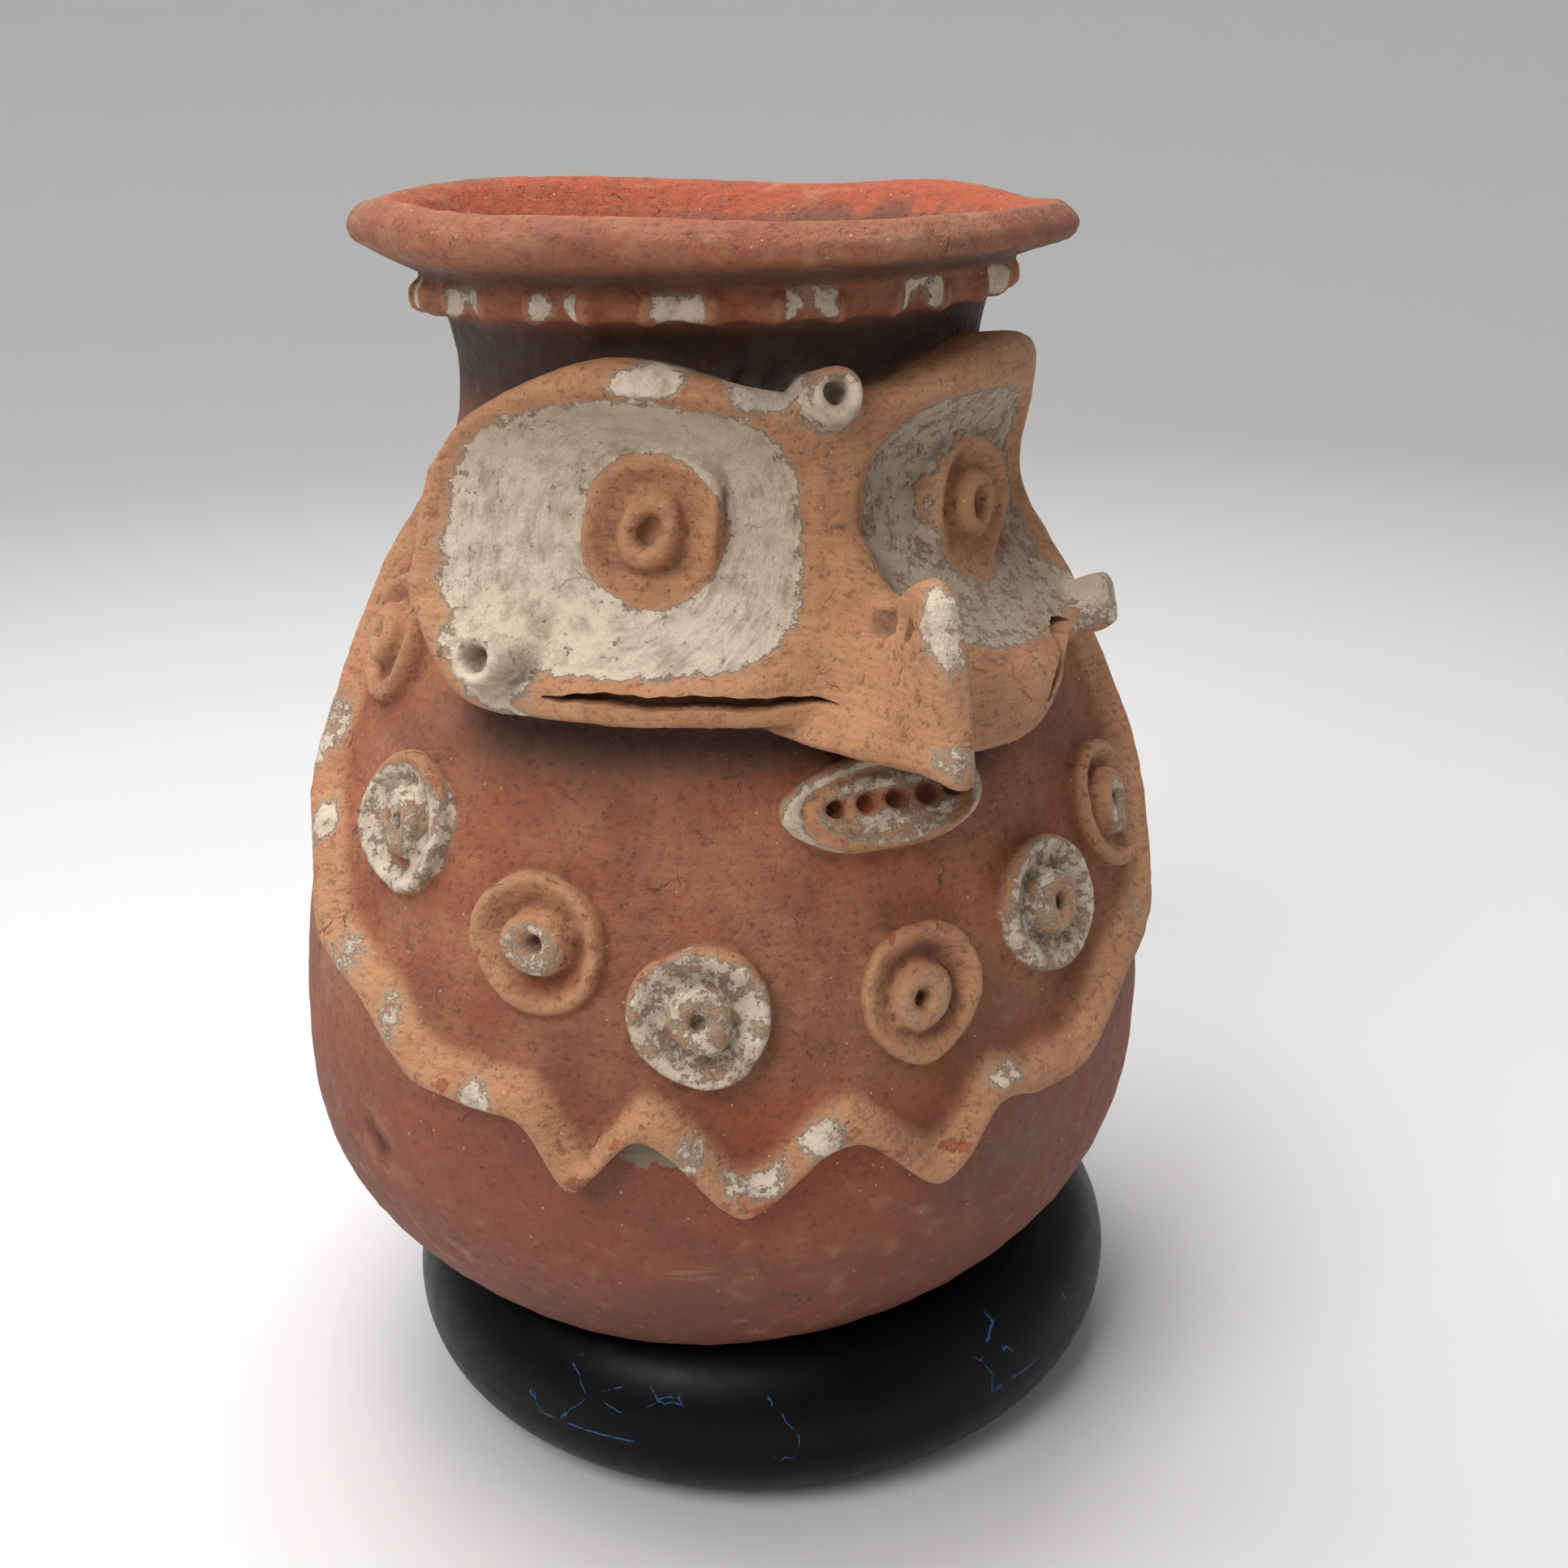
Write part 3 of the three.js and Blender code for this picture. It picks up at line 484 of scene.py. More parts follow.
def curve_through(points, steps):
    """More points along a smooth curve through a few [radius, height] pairs."""
    points = np.asarray(points, float)
    lengths = np.concatenate([[0], np.cumsum(np.hypot(*np.diff(points, axis=0).T))])
    at = np.linspace(0, lengths[-1], steps)
    return list(zip(flow(at, lengths, points[:, 0]), flow(at, lengths, points[:, 1])))


def wobble(points, seed, size, amount):
    """Pushes points about by a smooth, slow unevenness, as fingers leave it."""
    draw = np.random.default_rng(seed)
    moved = points.copy()
    for _ in range(5):
        direction = draw.normal(size=3)
        waves = draw.normal(size=3) / size
        phase = draw.uniform(0, 2 * math.pi)
        moved += amount / 2 * np.outer(np.sin(points @ waves + phase), direction)
    return moved


def on_wall(points, angle, z, radius=None, lean=None):
    """Carries points modelled round +Z out to the wall, with +Z turned outwards."""
    radius = float(wall_radius(z)) if radius is None else radius
    slope = float(wall_slope(z)) if lean is None else lean
    turn = math.radians(angle)
    outward = np.array([math.sin(turn), -math.cos(turn), 0]) * math.cos(slope)
    outward[2] = math.sin(slope)
    across = np.array([math.cos(turn), math.sin(turn), 0])
    upward = np.cross(outward, across)
    return place(angle, radius, z) + points @ np.array([across, upward, outward])


def tilted(angle):
    """How far the mask sits up or down at an angle, since it was set on askew."""
    return MASK_TILT * BROW_RADIUS * np.sin(np.radians(angle))


def modify(piece, kind, **settings):
    """Adds a modifier with its settings and applies it."""
    deselect()
    piece.select_set(True)
    bpy.context.view_layer.objects.active = piece
    modifier = piece.modifiers.new(kind.title(), kind)
    for name, value in settings.items():
        setattr(modifier, name, value)
    bpy.ops.object.modifier_apply(modifier=modifier.name)


def rim_lift(points):
    """Height that the rim's slant adds on each side."""
    side = (points[:, 0] - AXIS_X) * math.sin(DRIFT_ANGLE) - (points[:, 1] - AXIS_Y) * math.cos(DRIFT_ANGLE)
    return -side * math.tan(RIM_TILT)


def shape_body():
    """The hollow body, neck, collar and rolled rim."""
    sizes = bpy.context.scene.jar_sizes
    top = JAR_LIFT + sizes.height
    rim_middle = top - RIM_THICKNESS / 2
    heights = JAR_LIFT + (FILLET_HEIGHT - JAR_LIFT) * np.linspace(0, 1, 90) ** 1.12
    outer = [(max(float(wall_radius(z)), 4 * MM), float(z)) for z in heights]
    rim = curve_through([
        (COLLAR_RADIUS, FILLET_HEIGHT + FILLET_THICKNESS / 2),
        (sizes.rim_radius - 9 * MM, rim_middle - RIM_THICKNESS / 2),
        (sizes.rim_radius - 1 * MM, rim_middle - RIM_THICKNESS / 4),
        (sizes.rim_radius, rim_middle + 1 * MM),
        (sizes.rim_radius - 4 * MM, rim_middle + RIM_THICKNESS / 3),
        (sizes.rim_radius - RIM_WIDTH / 2, top),
        (sizes.rim_radius - RIM_WIDTH, top - 4 * MM),
    ], 40)
    inner_low = JAR_LIFT + FLOOR_WALL
    depths = inner_low + (FILLET_HEIGHT - inner_low) * np.linspace(1, 0.002, 50) ** 1.12
    inner = [(max(float(wall_radius(z)) - WALL, 4 * MM), float(z)) for z in depths]
    piece = throw("Body", outer + rim + inner, 240)
    points = read_points(piece)
    radius = np.hypot(points[:, 0], points[:, 1])
    angle = np.degrees(np.arctan2(points[:, 0], -points[:, 1]))
    turn = np.radians(angle)
    z = points[:, 2]
    uneven = 1.4 * MM * np.sin(2 * turn + z / 0.09) + 0.9 * MM * np.sin(5 * turn - z / 0.047)
    grown = radius + uneven * np.minimum(1, radius / NECK_RADIUS)
    moved = place(angle, grown, z)
    share = step(z, FILLET_HEIGHT, top)
    moved[:, 2] += share * (rim_lift(moved) + RIM_WAVE * np.sin(4 * turn))
    pressed = wobble(moved, 5, 26 * MM, 1.5 * MM)
    moved = mix(moved, pressed, step(z, FILLET_HEIGHT, top - 12 * MM)[:, None])
    write_points(piece, moved)
    return piece


def thumb_press(angle):
    """How deep the thumb has pressed the fillet at an angle, from 0 to 1."""
    return np.abs(np.cos(np.radians((angle - FIRST_PRINT_ANGLE) * THUMB_PRINTS / 2))) ** 0.6


def shape_fillet():
    """The strip under the collar, pressed hollow by a thumb at even steps."""
    sizes = bpy.context.scene.jar_sizes
    half = FILLET_THICKNESS / 2
    deselect()
    bpy.ops.mesh.primitive_torus_add(
        major_segments=THUMB_PRINTS * 14, minor_segments=28, major_radius=1, minor_radius=0.25
    )
    piece = bpy.context.object
    piece.name = "Fillet"
    points = read_points(piece)
    angle = np.degrees(np.arctan2(points[:, 0], -points[:, 1]))
    out = (np.hypot(points[:, 0], points[:, 1]) - 1) / 0.25
    up = points[:, 2] / 0.25
    press = thumb_press(angle)
    outer = sizes.fillet_radius - PRINT_DEPTH * press * step(out, 0.1, 0.9)
    inner = NECK_RADIUS + (4 + 10 * out) * MM
    radius = np.where(out > 0, mix(NECK_RADIUS + 4 * MM, outer, np.maximum(out, 0) ** 0.7), inner)
    z = FILLET_HEIGHT + half * signed_power(up, 0.75) + 2.5 * MM * press * step(-up, 0, 1)
    write_points(piece, wobble(place(angle, radius, z), 3, 18 * MM, 0.8 * MM))
    return piece


def shape_disc(name, seed, radius, hole, angle, z, wall=None, lean=None):
    """A pressed disc with a raised lip and a bored knob in its middle."""
    profile = [(radius * 0.9, -DISC_SINK)] + curve_through([
        (radius * 0.97, -2 * MM),
        (radius, DISC_STAND - 1 * MM),
        (radius - 1.5 * MM, DISC_STAND + DISC_LIP - 1 * MM),
        (radius - 4 * MM, DISC_STAND + DISC_LIP - 1.2 * MM),
        (radius - 8 * MM, DISC_STAND - 0.8 * MM),
        (KNOB_RADIUS + 1 * MM, DISC_STAND - 3 * MM),
        (KNOB_RADIUS, DISC_STAND - 0.5 * MM),
        (KNOB_RADIUS, KNOB_STAND - 3.5 * MM),
        (KNOB_RADIUS - 3 * MM, KNOB_STAND),
        (hole + 1 * MM, KNOB_STAND - 0.3 * MM),
        (hole, KNOB_STAND - 2 * MM),
        (hole * 0.7, KNOB_STAND - KNOB_HOLE_DEPTH),
    ], 44) + [(1 * MM, KNOB_STAND - KNOB_HOLE_DEPTH - 1 * MM)]
    piece = throw(name, profile, 72)
    points = wobble(read_points(piece), seed, 17 * MM, 1.3 * MM)
    write_points(piece, on_wall(points, angle, z, wall, lean))
    return piece


def ledge_track(share):
    """The ledge's own angle and height at shares of its length, before it waves."""
    sweep = np.pi * mix(LEDGE_START, LEDGE_END, share)
    on_left = sweep < np.pi / 2
    reach = np.where(on_left, LEDGE_REACH_LEFT, LEDGE_REACH_RIGHT)
    bend = 2 / np.where(on_left, LEDGE_SQUARENESS_LEFT, LEDGE_SQUARENESS_RIGHT)
    along = -signed_power(np.cos(sweep), bend)
    drop = np.abs(np.sin(sweep)) ** bend
    return LEDGE_CENTRE + reach * along, LEDGE_TOP - (LEDGE_TOP - LEDGE_LOW) * drop


def ledge_tables():
    """The ledge's run, angle, height and outward swing at many even steps."""
    angle, z = ledge_track(np.linspace(0, 1, 1201))
    points = place(angle, wall_radius(z), z)
    run = np.concatenate([[0], np.cumsum(np.linalg.norm(np.diff(points, axis=0), axis=1))])
    even = np.linspace(0, run[-1], 601)
    angle, z = np.interp(even, run, angle), np.interp(even, run, z)
    around = np.gradient(np.radians(angle)) * wall_radius(z)
    climb = np.hypot(np.gradient(z), np.gradient(wall_radius(z))) * np.sign(np.gradient(z))
    size = np.hypot(around, climb)
    front = np.interp(0, angle, even)
    return even, angle, z, climb / size, around / size, front


def waves_passed(run):
    """Waves passed at a run from the middle of the face, counted from the first dip."""
    counted = np.interp(run, WAVE_TURNS, np.arange(len(WAVE_TURNS)) / 2)
    before = np.minimum(run - WAVE_TURNS[0], 0)
    after = np.maximum(run - WAVE_TURNS[-1], 0)
    return counted + (before + after) / RIPPLE_PITCH


def ledge_wave(run):
    """How far the ledge swings out and in along its run from the middle of the face."""
    begins, ends = WAVE_TURNS[0], WAVE_TURNS[-1]
    front = step(run, begins - 50 * MM, begins - 10 * MM) * inside(run - ends - 38 * MM, 18 * MM)
    swing = np.abs(np.sin(np.pi * waves_passed(run))) ** 1.6
    return mix(RIPPLE_HEIGHT, WAVE_HEIGHT, front) * (1 - 2 * swing)


def shape_ledge():
    """The wavy ledge, steep below and sloping in to the chest above."""
    run, angle, z, out_around, out_down, front = ledge_tables()
    total = run[-1]

    def at(across, away, height):
        here = across * total
        a, b = np.interp(here, run, angle), np.interp(here, run, z)
        shift = away + ledge_wave(here - front)
        slope = wall_slope(b)
        low = b - shift * np.interp(here, run, out_down) * np.cos(slope)
        turn = a + np.degrees(shift * np.interp(here, run, out_around) / wall_radius(b))
        return place(turn, wall_radius(low) + height * np.cos(slope), low + height * np.sin(slope))

    def stand(across):
        here = across * total
        full = step(here, 0, LEDGE_FADE) * (1 - step(here, total - LEDGE_FADE, total))
        return LEDGE_STAND * mix(0.4, 1, full)

    def face(across, up):
        away = flow(up, [0, 0.15, 0.3, 0.45, 0.6, 0.8, 1], np.array([3.5, 6.5, 6.5, 2, -4, -11, -22]) * MM)
        height = flow(up, [0, 0.15, 0.3, 0.45, 0.6, 0.8, 1], [-0.3, 0.3, 0.85, 1.06, 0.9, 0.42, 0])
        return at(across, away, height * stand(across))

    def sunk(across, up):
        return at(across, mix(3.5 * MM, -22 * MM, up), -LEDGE_SINK)

    return slab("Ledge", 560, 22, face, sunk)


def mask_half(angle):
    """How far the mask reaches round the jar on the side of an angle."""
    return np.where(np.asarray(angle) < 0, MASK_HALF_LEFT, MASK_HALF_RIGHT)


def mask_edges(angle):
    """Heights of the mask's lower and upper edges at an angle."""
    side = np.abs(angle)
    half = mask_half(angle)
    dip = BROW_DIP * (1 - step(side, 3, SHOULDER_ANGLE - 2))
    past = np.maximum(0, (side - SHOULDER_ANGLE) / (half - SHOULDER_ANGLE))
    shoulder = np.where(np.asarray(angle) < 0, SHOULDER_LEFT, SHOULDER_RIGHT) * past ** 1.4
    drop = BROW_DROP_LEFT * step(-np.asarray(angle), 5, SHOULDER_ANGLE)
    high = MASK_TOP - dip - drop - shoulder - SHOULDER_CORNER * step(past, 0.75, 1)
    droop = JAW_DROOP * step(angle, 0, 8) - JAW_RISE * step(angle, 18, 38)
    return MASK_BOTTOM - droop + CHEEK_RISE * step(side / half, 0.7, 1.06) ** 1.6, high


def dish_reach(angle, z):
    """How far a place is from the middle of its eye dish: 1 on the dish's edge."""
    on_left = np.asarray(angle) < 0
    middle = np.where(on_left, DISH_ANGLE_LEFT, DISH_ANGLE_RIGHT)
    across = np.abs((angle - middle) / np.where(on_left, DISH_HALF_LEFT, DISH_HALF_RIGHT))
    up = np.abs((z - EYE_HEIGHT) / DISH_HALF_HEIGHT)
    return (across ** DISH_SQUARENESS + up ** DISH_SQUARENESS) ** (1 / DISH_SQUARENESS)


def mask_radius(angle, z):
    """Outer surface of the mask, before its edge is rounded."""
    beside_eyes = np.exp(-((z - EYE_HEIGHT) / CHEEK_FLAT_HEIGHT) ** 2)
    flat = CHEEK_FLATNESS * step(angle, 30, 58) * beside_eyes
    bulge = JAW_BULGE * step(angle, 2, 10) * (1 - step(angle, 25, 40))
    jaw = bulge * (1 - step(z, MASK_BOTTOM - 5 * MM, MASK_BOTTOM + 35 * MM))
    rise = (z - MASK_BOTTOM) / (MASK_TOP - MASK_BOTTOM)
    outer = mix(CHEEK_RADIUS, BROW_RADIUS, rise) - flat + jaw
    nose = RIDGE_FLARE * (1 - step(z, MASK_BOTTOM + 10 * MM, EYE_HEIGHT))
    set_back = RIDGE_SET_BACK * step(z, MASK_BOTTOM + 10 * MM, EYE_HEIGHT + 10 * MM)
    middle = np.maximum(RIDGE_RADIUS + nose, outer - set_back)
    face = mix(middle, outer, step(np.abs(angle), 2, 24))
    hollow = DISH_DEPTH * (1 - np.minimum(1, dish_reach(angle, z)) ** 2.3)
    sunk = face - hollow * mix(1, 0.85, step(z, EYE_HEIGHT + 10 * MM, EYE_HEIGHT + 60 * MM))
    return np.maximum(sunk, wall_radius(z) + 3 * MM)


def shape_mask():
    """The dished face that stands off the neck."""
    def edges(across):
        swing = 2 * across - 1
        angle = mask_half(swing) * signed_power(swing, 0.93)
        low, high = mask_edges(angle)
        return swing, angle, low, high

    def face(across, up):
        swing, angle, low, high = edges(across)
        share = 0.5 - 0.5 * np.cos(np.pi * up)
        z = mix(low, high, mix(share, up, 0.45))
        inset = np.minimum(z - low, high - z)
        side = (1 - np.abs(swing)) * 0.13
        near = np.clip(1 - np.minimum(inset, side) / MASK_LIP, 0, 1)
        rounded = MASK_LIP * (1 - np.sqrt(1 - near ** 2)) * 0.8
        return place(angle, mask_radius(angle, z) - rounded, z + tilted(angle))

    def sunk(across, up):
        swing, angle, low, high = edges(across)
        back = angle + np.sign(angle) * 5 * step(np.abs(swing), 0.93, 1)
        z = mix(low + 12 * MM, high - 2 * MM, up)
        return place(back, wall_radius(z) - 0.65 * WALL, z + tilted(angle))

    return slab("Mask", 240, 120, face, sunk)


def shape_beak():
    """The hooked beak, as a fin that runs out from the ridge between the eyes."""
    reach = bpy.context.scene.jar_sizes.beak_reach
    shares = BEAK_SECTIONS[:, 0]

    def side(across, up, sign):
        share = mix(shares[0], shares[-1], across)
        top, bottom, at_top, at_middle, at_bottom = (
            flow(share, shares, BEAK_SECTIONS[:, k]) * MM for k in range(1, 6)
        )
        z = EYE_HEIGHT + mix(bottom, top, up)
        width = flow_rows(up, at_top, at_middle, at_bottom)
        rounding = np.sqrt(np.clip(1 - np.clip(1 - up / 0.08, 0, 1) ** 2, 0, 1))
        rounding *= np.sqrt(np.clip(1 - np.clip(1 - (1 - up) / 0.07, 0, 1) ** 2, 0, 1))
        x = sign * width * rounding
        out = reach * share
        middle = place(0, 0, z)
        middle[:, 0] += x * math.cos(BEAK_TURN) + out * math.sin(BEAK_TURN)
        middle[:, 1] -= out * math.cos(BEAK_TURN) - x * math.sin(BEAK_TURN)
        middle[:, 2] += MASK_TILT * x
        return middle

    return slab("Beak", 90, 60, lambda a, u: side(a, u, 1), lambda a, u: side(a, u, -1))


def flow_rows(up, at_top, at_middle, at_bottom):
    """Half-width of the beak from its bottom to its top."""
    low = mix(at_bottom, at_middle, step(up, 0, 0.55))
    return mix(low, at_top, step(up, 0.45, 0.97))


def shape_tube(name, seed, angle, z, radius, lean):
    """A short open tube of clay that stands on the mask."""
    profile = [(TUBE_RADIUS + 3 * MM, -TUBE_LENGTH)] + curve_through([
        (TUBE_RADIUS + 1 * MM, -6 * MM),
        (TUBE_RADIUS, TUBE_LENGTH / 2 - 4 * MM),
        (TUBE_RADIUS - 1.5 * MM, TUBE_LENGTH / 2),
        (TUBE_BORE + 1 * MM, TUBE_LENGTH / 2),
        (TUBE_BORE, TUBE_LENGTH / 2 - 3 * MM),
        (TUBE_BORE - 1 * MM, TUBE_LENGTH / 2 - 12 * MM),
    ], 24) + [(1 * MM, TUBE_LENGTH / 2 - 13 * MM)]
    piece = throw(name, profile, 48)
    points = wobble(read_points(piece), seed, 11 * MM, 1.2 * MM)
    write_points(piece, on_wall(points, angle, z + float(tilted(angle)), radius, lean))
    return piece


def wrap_on_wall(points, angle, z):
    """Bends points modelled flat, outwards along +Z, round the wall."""
    slope = float(wall_slope(z))
    height = z + points[:, 1] * math.cos(slope)
    around = np.degrees(points[:, 0] / float(wall_radius(z)))
    radius = wall_radius(height) + points[:, 2] * math.cos(slope)
    return place(angle + around, radius, height + points[:, 2] * math.sin(slope))


def shape_mouth():
    """The oval mouth: a lip, a groove and an inner lip round a row of tooth holes."""
    half = MOUTH_HALF_HEIGHT
    profile = [(half, -MOUTH_SINK)] + curve_through([
        (half, 2 * MM), (half - 0.6 * MM, 7 * MM), (half - 3.5 * MM, 10 * MM), (half - 7 * MM, 8 * MM),
        (half - 8.5 * MM, 4 * MM), (half - 10 * MM, 3.8 * MM), (half - 11 * MM, 7 * MM),
        (half - 12.5 * MM, 8.5 * MM), (half - 14.5 * MM, 7.2 * MM), (half - 16 * MM, 5 * MM),
    ], 40) + [(1 * MM, 4.8 * MM)]
    piece = throw("Mouth", profile, 120)
    points = read_points(piece)
    radius = np.maximum(np.hypot(points[:, 0], points[:, 1]), 1e-6)
    points[:, 0] += (MOUTH_HALF_WIDTH - half) * points[:, 0] / radius
    write_points(piece, points)
    span = TOOTH_PITCH * (TOOTH_HOLES - 1)
    for i in range(TOOTH_HOLES):
        deselect()
        x = TOOTH_SHIFT - span / 2 + TOOTH_PITCH * i
        bpy.ops.mesh.primitive_cylinder_add(
            vertices=TOOTH_SIDES, radius=TOOTH_HOLE_RADIUS, depth=20 * MM, location=(x, 0, 9 * MM)
        )
        drill = bpy.context.object
        modify(piece, "BOOLEAN", object=drill, operation="DIFFERENCE", solver="EXACT")
        bpy.data.objects.remove(drill)
    points = wobble(read_points(piece), 8, 20 * MM, 0.8 * MM)
    write_points(piece, wrap_on_wall(points, MOUTH_ANGLE, MOUTH_HEIGHT))
    return piece


def cut_slits(mask):
    """Opens the slits at the corners of the mask's mouth."""
    for middle, slit_length, rise in SLITS:
        half = math.degrees(slit_length / 2 / CHEEK_RADIUS)

        def side(across, up, depth):
            share = 2 * across - 1
            angle = middle + half * share
            open_by = SLIT_OPENING * (1 - np.abs(share) ** 3) + 1 * MM
            zigzag = 0.5 * MM * np.sin(share * 9 + middle) + 0.25 * MM * np.sin(share * 31)
            z = mask_edges(angle)[0] + rise + zigzag + (up - 0.5) * open_by
            return place(angle, mask_radius(angle, z) + depth, z + tilted(angle))

        cutter = slab(
            "Slit", 40, 3, lambda a, u: side(a, u, 20 * MM), lambda a, u: side(a, u, -SLIT_DEPTH)
        )
        modify(mask, "BOOLEAN", object=cutter, operation="DIFFERENCE", solver="EXACT")
        bpy.data.objects.remove(cutter)


def join(pieces, name):
    """Joins pieces into one object."""
    deselect()
    for piece in pieces:
        piece.select_set(True)
    bpy.context.view_layer.objects.active = pieces[0]
    bpy.ops.object.join()
    pieces[0].name = name
    return pieces[0]


class OBJECT_OT_clay_jar(bpy.types.Operator):
    """Models the jar with its mask, beak, discs, ledge and rim as one fired piece"""

    bl_idname = "object.clay_jar"
    bl_label = "Clay jar"

    def execute(self, context):
        sizes = context.scene.jar_sizes
        parts = [shape_body(), shape_fillet(), shape_ledge(), shape_mask(), shape_beak(), shape_mouth()]
        for i, (angle, z, _, _) in enumerate(CHEST_DISCS):
            parts.append(shape_disc("Disc", 20 + i, sizes.disc_radius, KNOB_HOLE, angle, z))
        for side in (-1, 1):
            angle = side * EYE_DISC_ANGLE
            floor_radius = float(mask_radius(angle, EYE_HEIGHT)) + 1 * MM
            z = EYE_HEIGHT + float(tilted(angle))
            size = sizes.eye_disc_radius
            parts.append(shape_disc("Eye", 30 + side, size, EYE_HOLE, angle, z, floor_radius, EYE_DISC_LEAN))
        for i, (angle, rise, radius, lean) in enumerate(TUBES):
            parts.append(shape_tube("Tube", 40 + i, angle, EYE_HEIGHT + rise, radius, lean))
        jar = join(parts, "Sago_jar")
        press_together(jar)
        dent(jar)
        cut_slits(jar)
        shade(jar)
        write_fields(jar, jar_fields(jar))
        jar.data.materials.clear()
        jar.data.materials.append(fired_clay())
        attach(jar, "root")
        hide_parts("jar")
        return {"FINISHED"}


def dent(jar):
    """Presses in the nostril and the gouges and hollows that age has left."""
    points = read_points(jar)
    normals = read_normals(jar)
    spots = [Vector(point) for point in points]
    lumps = [0.9 * noise.noise(p / (11 * MM)) + 0.4 * noise.noise(p / (4.5 * MM)) for p in spots]
    points += normals * (np.array(lumps) * 0.6 * MM)[:, None]
    for angle, out, height, reach, depth in DENTS:
        z = height * MM
        middle = place(angle, out * MM or float(wall_radius(z)), z)
        away = np.linalg.norm(points - middle, axis=1) / (reach * MM)
        points -= normals * (depth * MM * np.exp(-2 * away ** 2))[:, None]
    write_points(jar, points)


def shade(piece):
    """Shades a piece smooth, but for its sharp edges."""
    deselect()
    piece.select_set(True)
    bpy.context.view_layer.objects.active = piece
    bpy.ops.object.shade_smooth_by_angle(angle=math.radians(55))


def press_together(jar):
    """Makes one skin of the joined clay pieces, smooths it and keeps its faces within bounds."""
    voxel = bpy.context.scene.jar_sizes.voxel * 1
    modify(jar, "REMESH", mode="VOXEL", voxel_size=voxel, adaptivity=0)
    modify(jar, "SMOOTH", factor=0.5, iterations=3)
    modify(jar, "TRIANGULATE")
    limit = 190_000
    faces = len(jar.data.polygons)
    if faces > limit:
        modify(jar, "DECIMATE", ratio=limit / faces)


def patches(places, angle, radius, z):
    """How strongly each place lies in one of some patches, from 0 to 1."""
    cover = np.zeros(len(z))
    for middle, height, half_width, half_height, strength in places:
        across = np.radians(angle - middle) * radius / (half_width * MM)
        up = (z - height * MM) / (half_height * MM)
        cover = np.maximum(cover, strength * inside(np.hypot(across, up) - 1, 0.6))
    return cover


def eye_distance(angle, radius, mask_z):
    """Distance along the mask from the middle of the nearer eye."""
    side = np.where(angle < 0, -EYE_DISC_ANGLE, EYE_DISC_ANGLE)
    return np.hypot(np.radians(angle - side) * radius, mask_z - EYE_HEIGHT)


def jar_fields(jar):
    """Where paint, applied clay, chips, wear and soot lie on the jar."""
    angle, radius, z = locate(read_points(jar))
    stand = radius - wall_radius(z)
    mask_z = z - tilted(angle)
    low, high = mask_edges(angle)
    on_mask = inside(np.abs(mask_z - (low + high) / 2) - (high - low) / 2 - 3 * MM, 2 * MM)
    on_mask *= inside(np.abs(angle) - mask_half(angle) - 3, 2) * step(stand, 0.5 * MM, 2 * MM)
    applied = np.maximum(step(stand, 1.5 * MM, 7 * MM) * inside(z - 548 * MM, 5 * MM), on_mask)
    dish = on_mask * inside(dish_reach(angle, mask_z) - 0.93, 0.05)
    # Painted shade: the paint of the right eye dish and of the dishes' tops under the brow is greyed where
    # shade falls; the scar's grey paint is real
    in_shade = np.maximum(step(angle, 0, 4), 0.8 * step(mask_z, EYE_HEIGHT + 12 * MM, EYE_HEIGHT + 48 * MM))
    return {
        "paint": paint_cover(angle, radius, z, stand, dish, applied),
        "grey_paint_and_shade": np.maximum(dish * in_shade, patches(SCAR_PAINT, angle, radius, z)),
        "applied": applied,
        "chip": patches(ORANGE_CHIPS, angle, radius, z) * applied,
        "repair": patches(GREY_REPAIR, angle, radius, z) * inside(stand - 7 * MM, 5 * MM),
        "smoke": patches(SMOKE, angle, radius, z),
        "scrape": patches(SCRAPES, angle, radius, z),
        "worn_edges_shaded_hollows": worn_edges_shaded_hollows(jar),
        # Painted shade where the collar and the jaw overhang
        "painted_shade": painted_shade_cover(angle, radius, z, stand),
        "eye": np.where(dish > 0.01, eye_distance(angle, radius, mask_z), 0),
        "inner": inner_wall(radius, z),
    }


def inner_wall(radius, z):
    """1 on the inside of the mouth and on top of the rim."""
    sizes = bpy.context.scene.jar_sizes
    return inside(radius - sizes.rim_radius + 12 * MM, 3 * MM) * step(z, 574 * MM, 582 * MM)


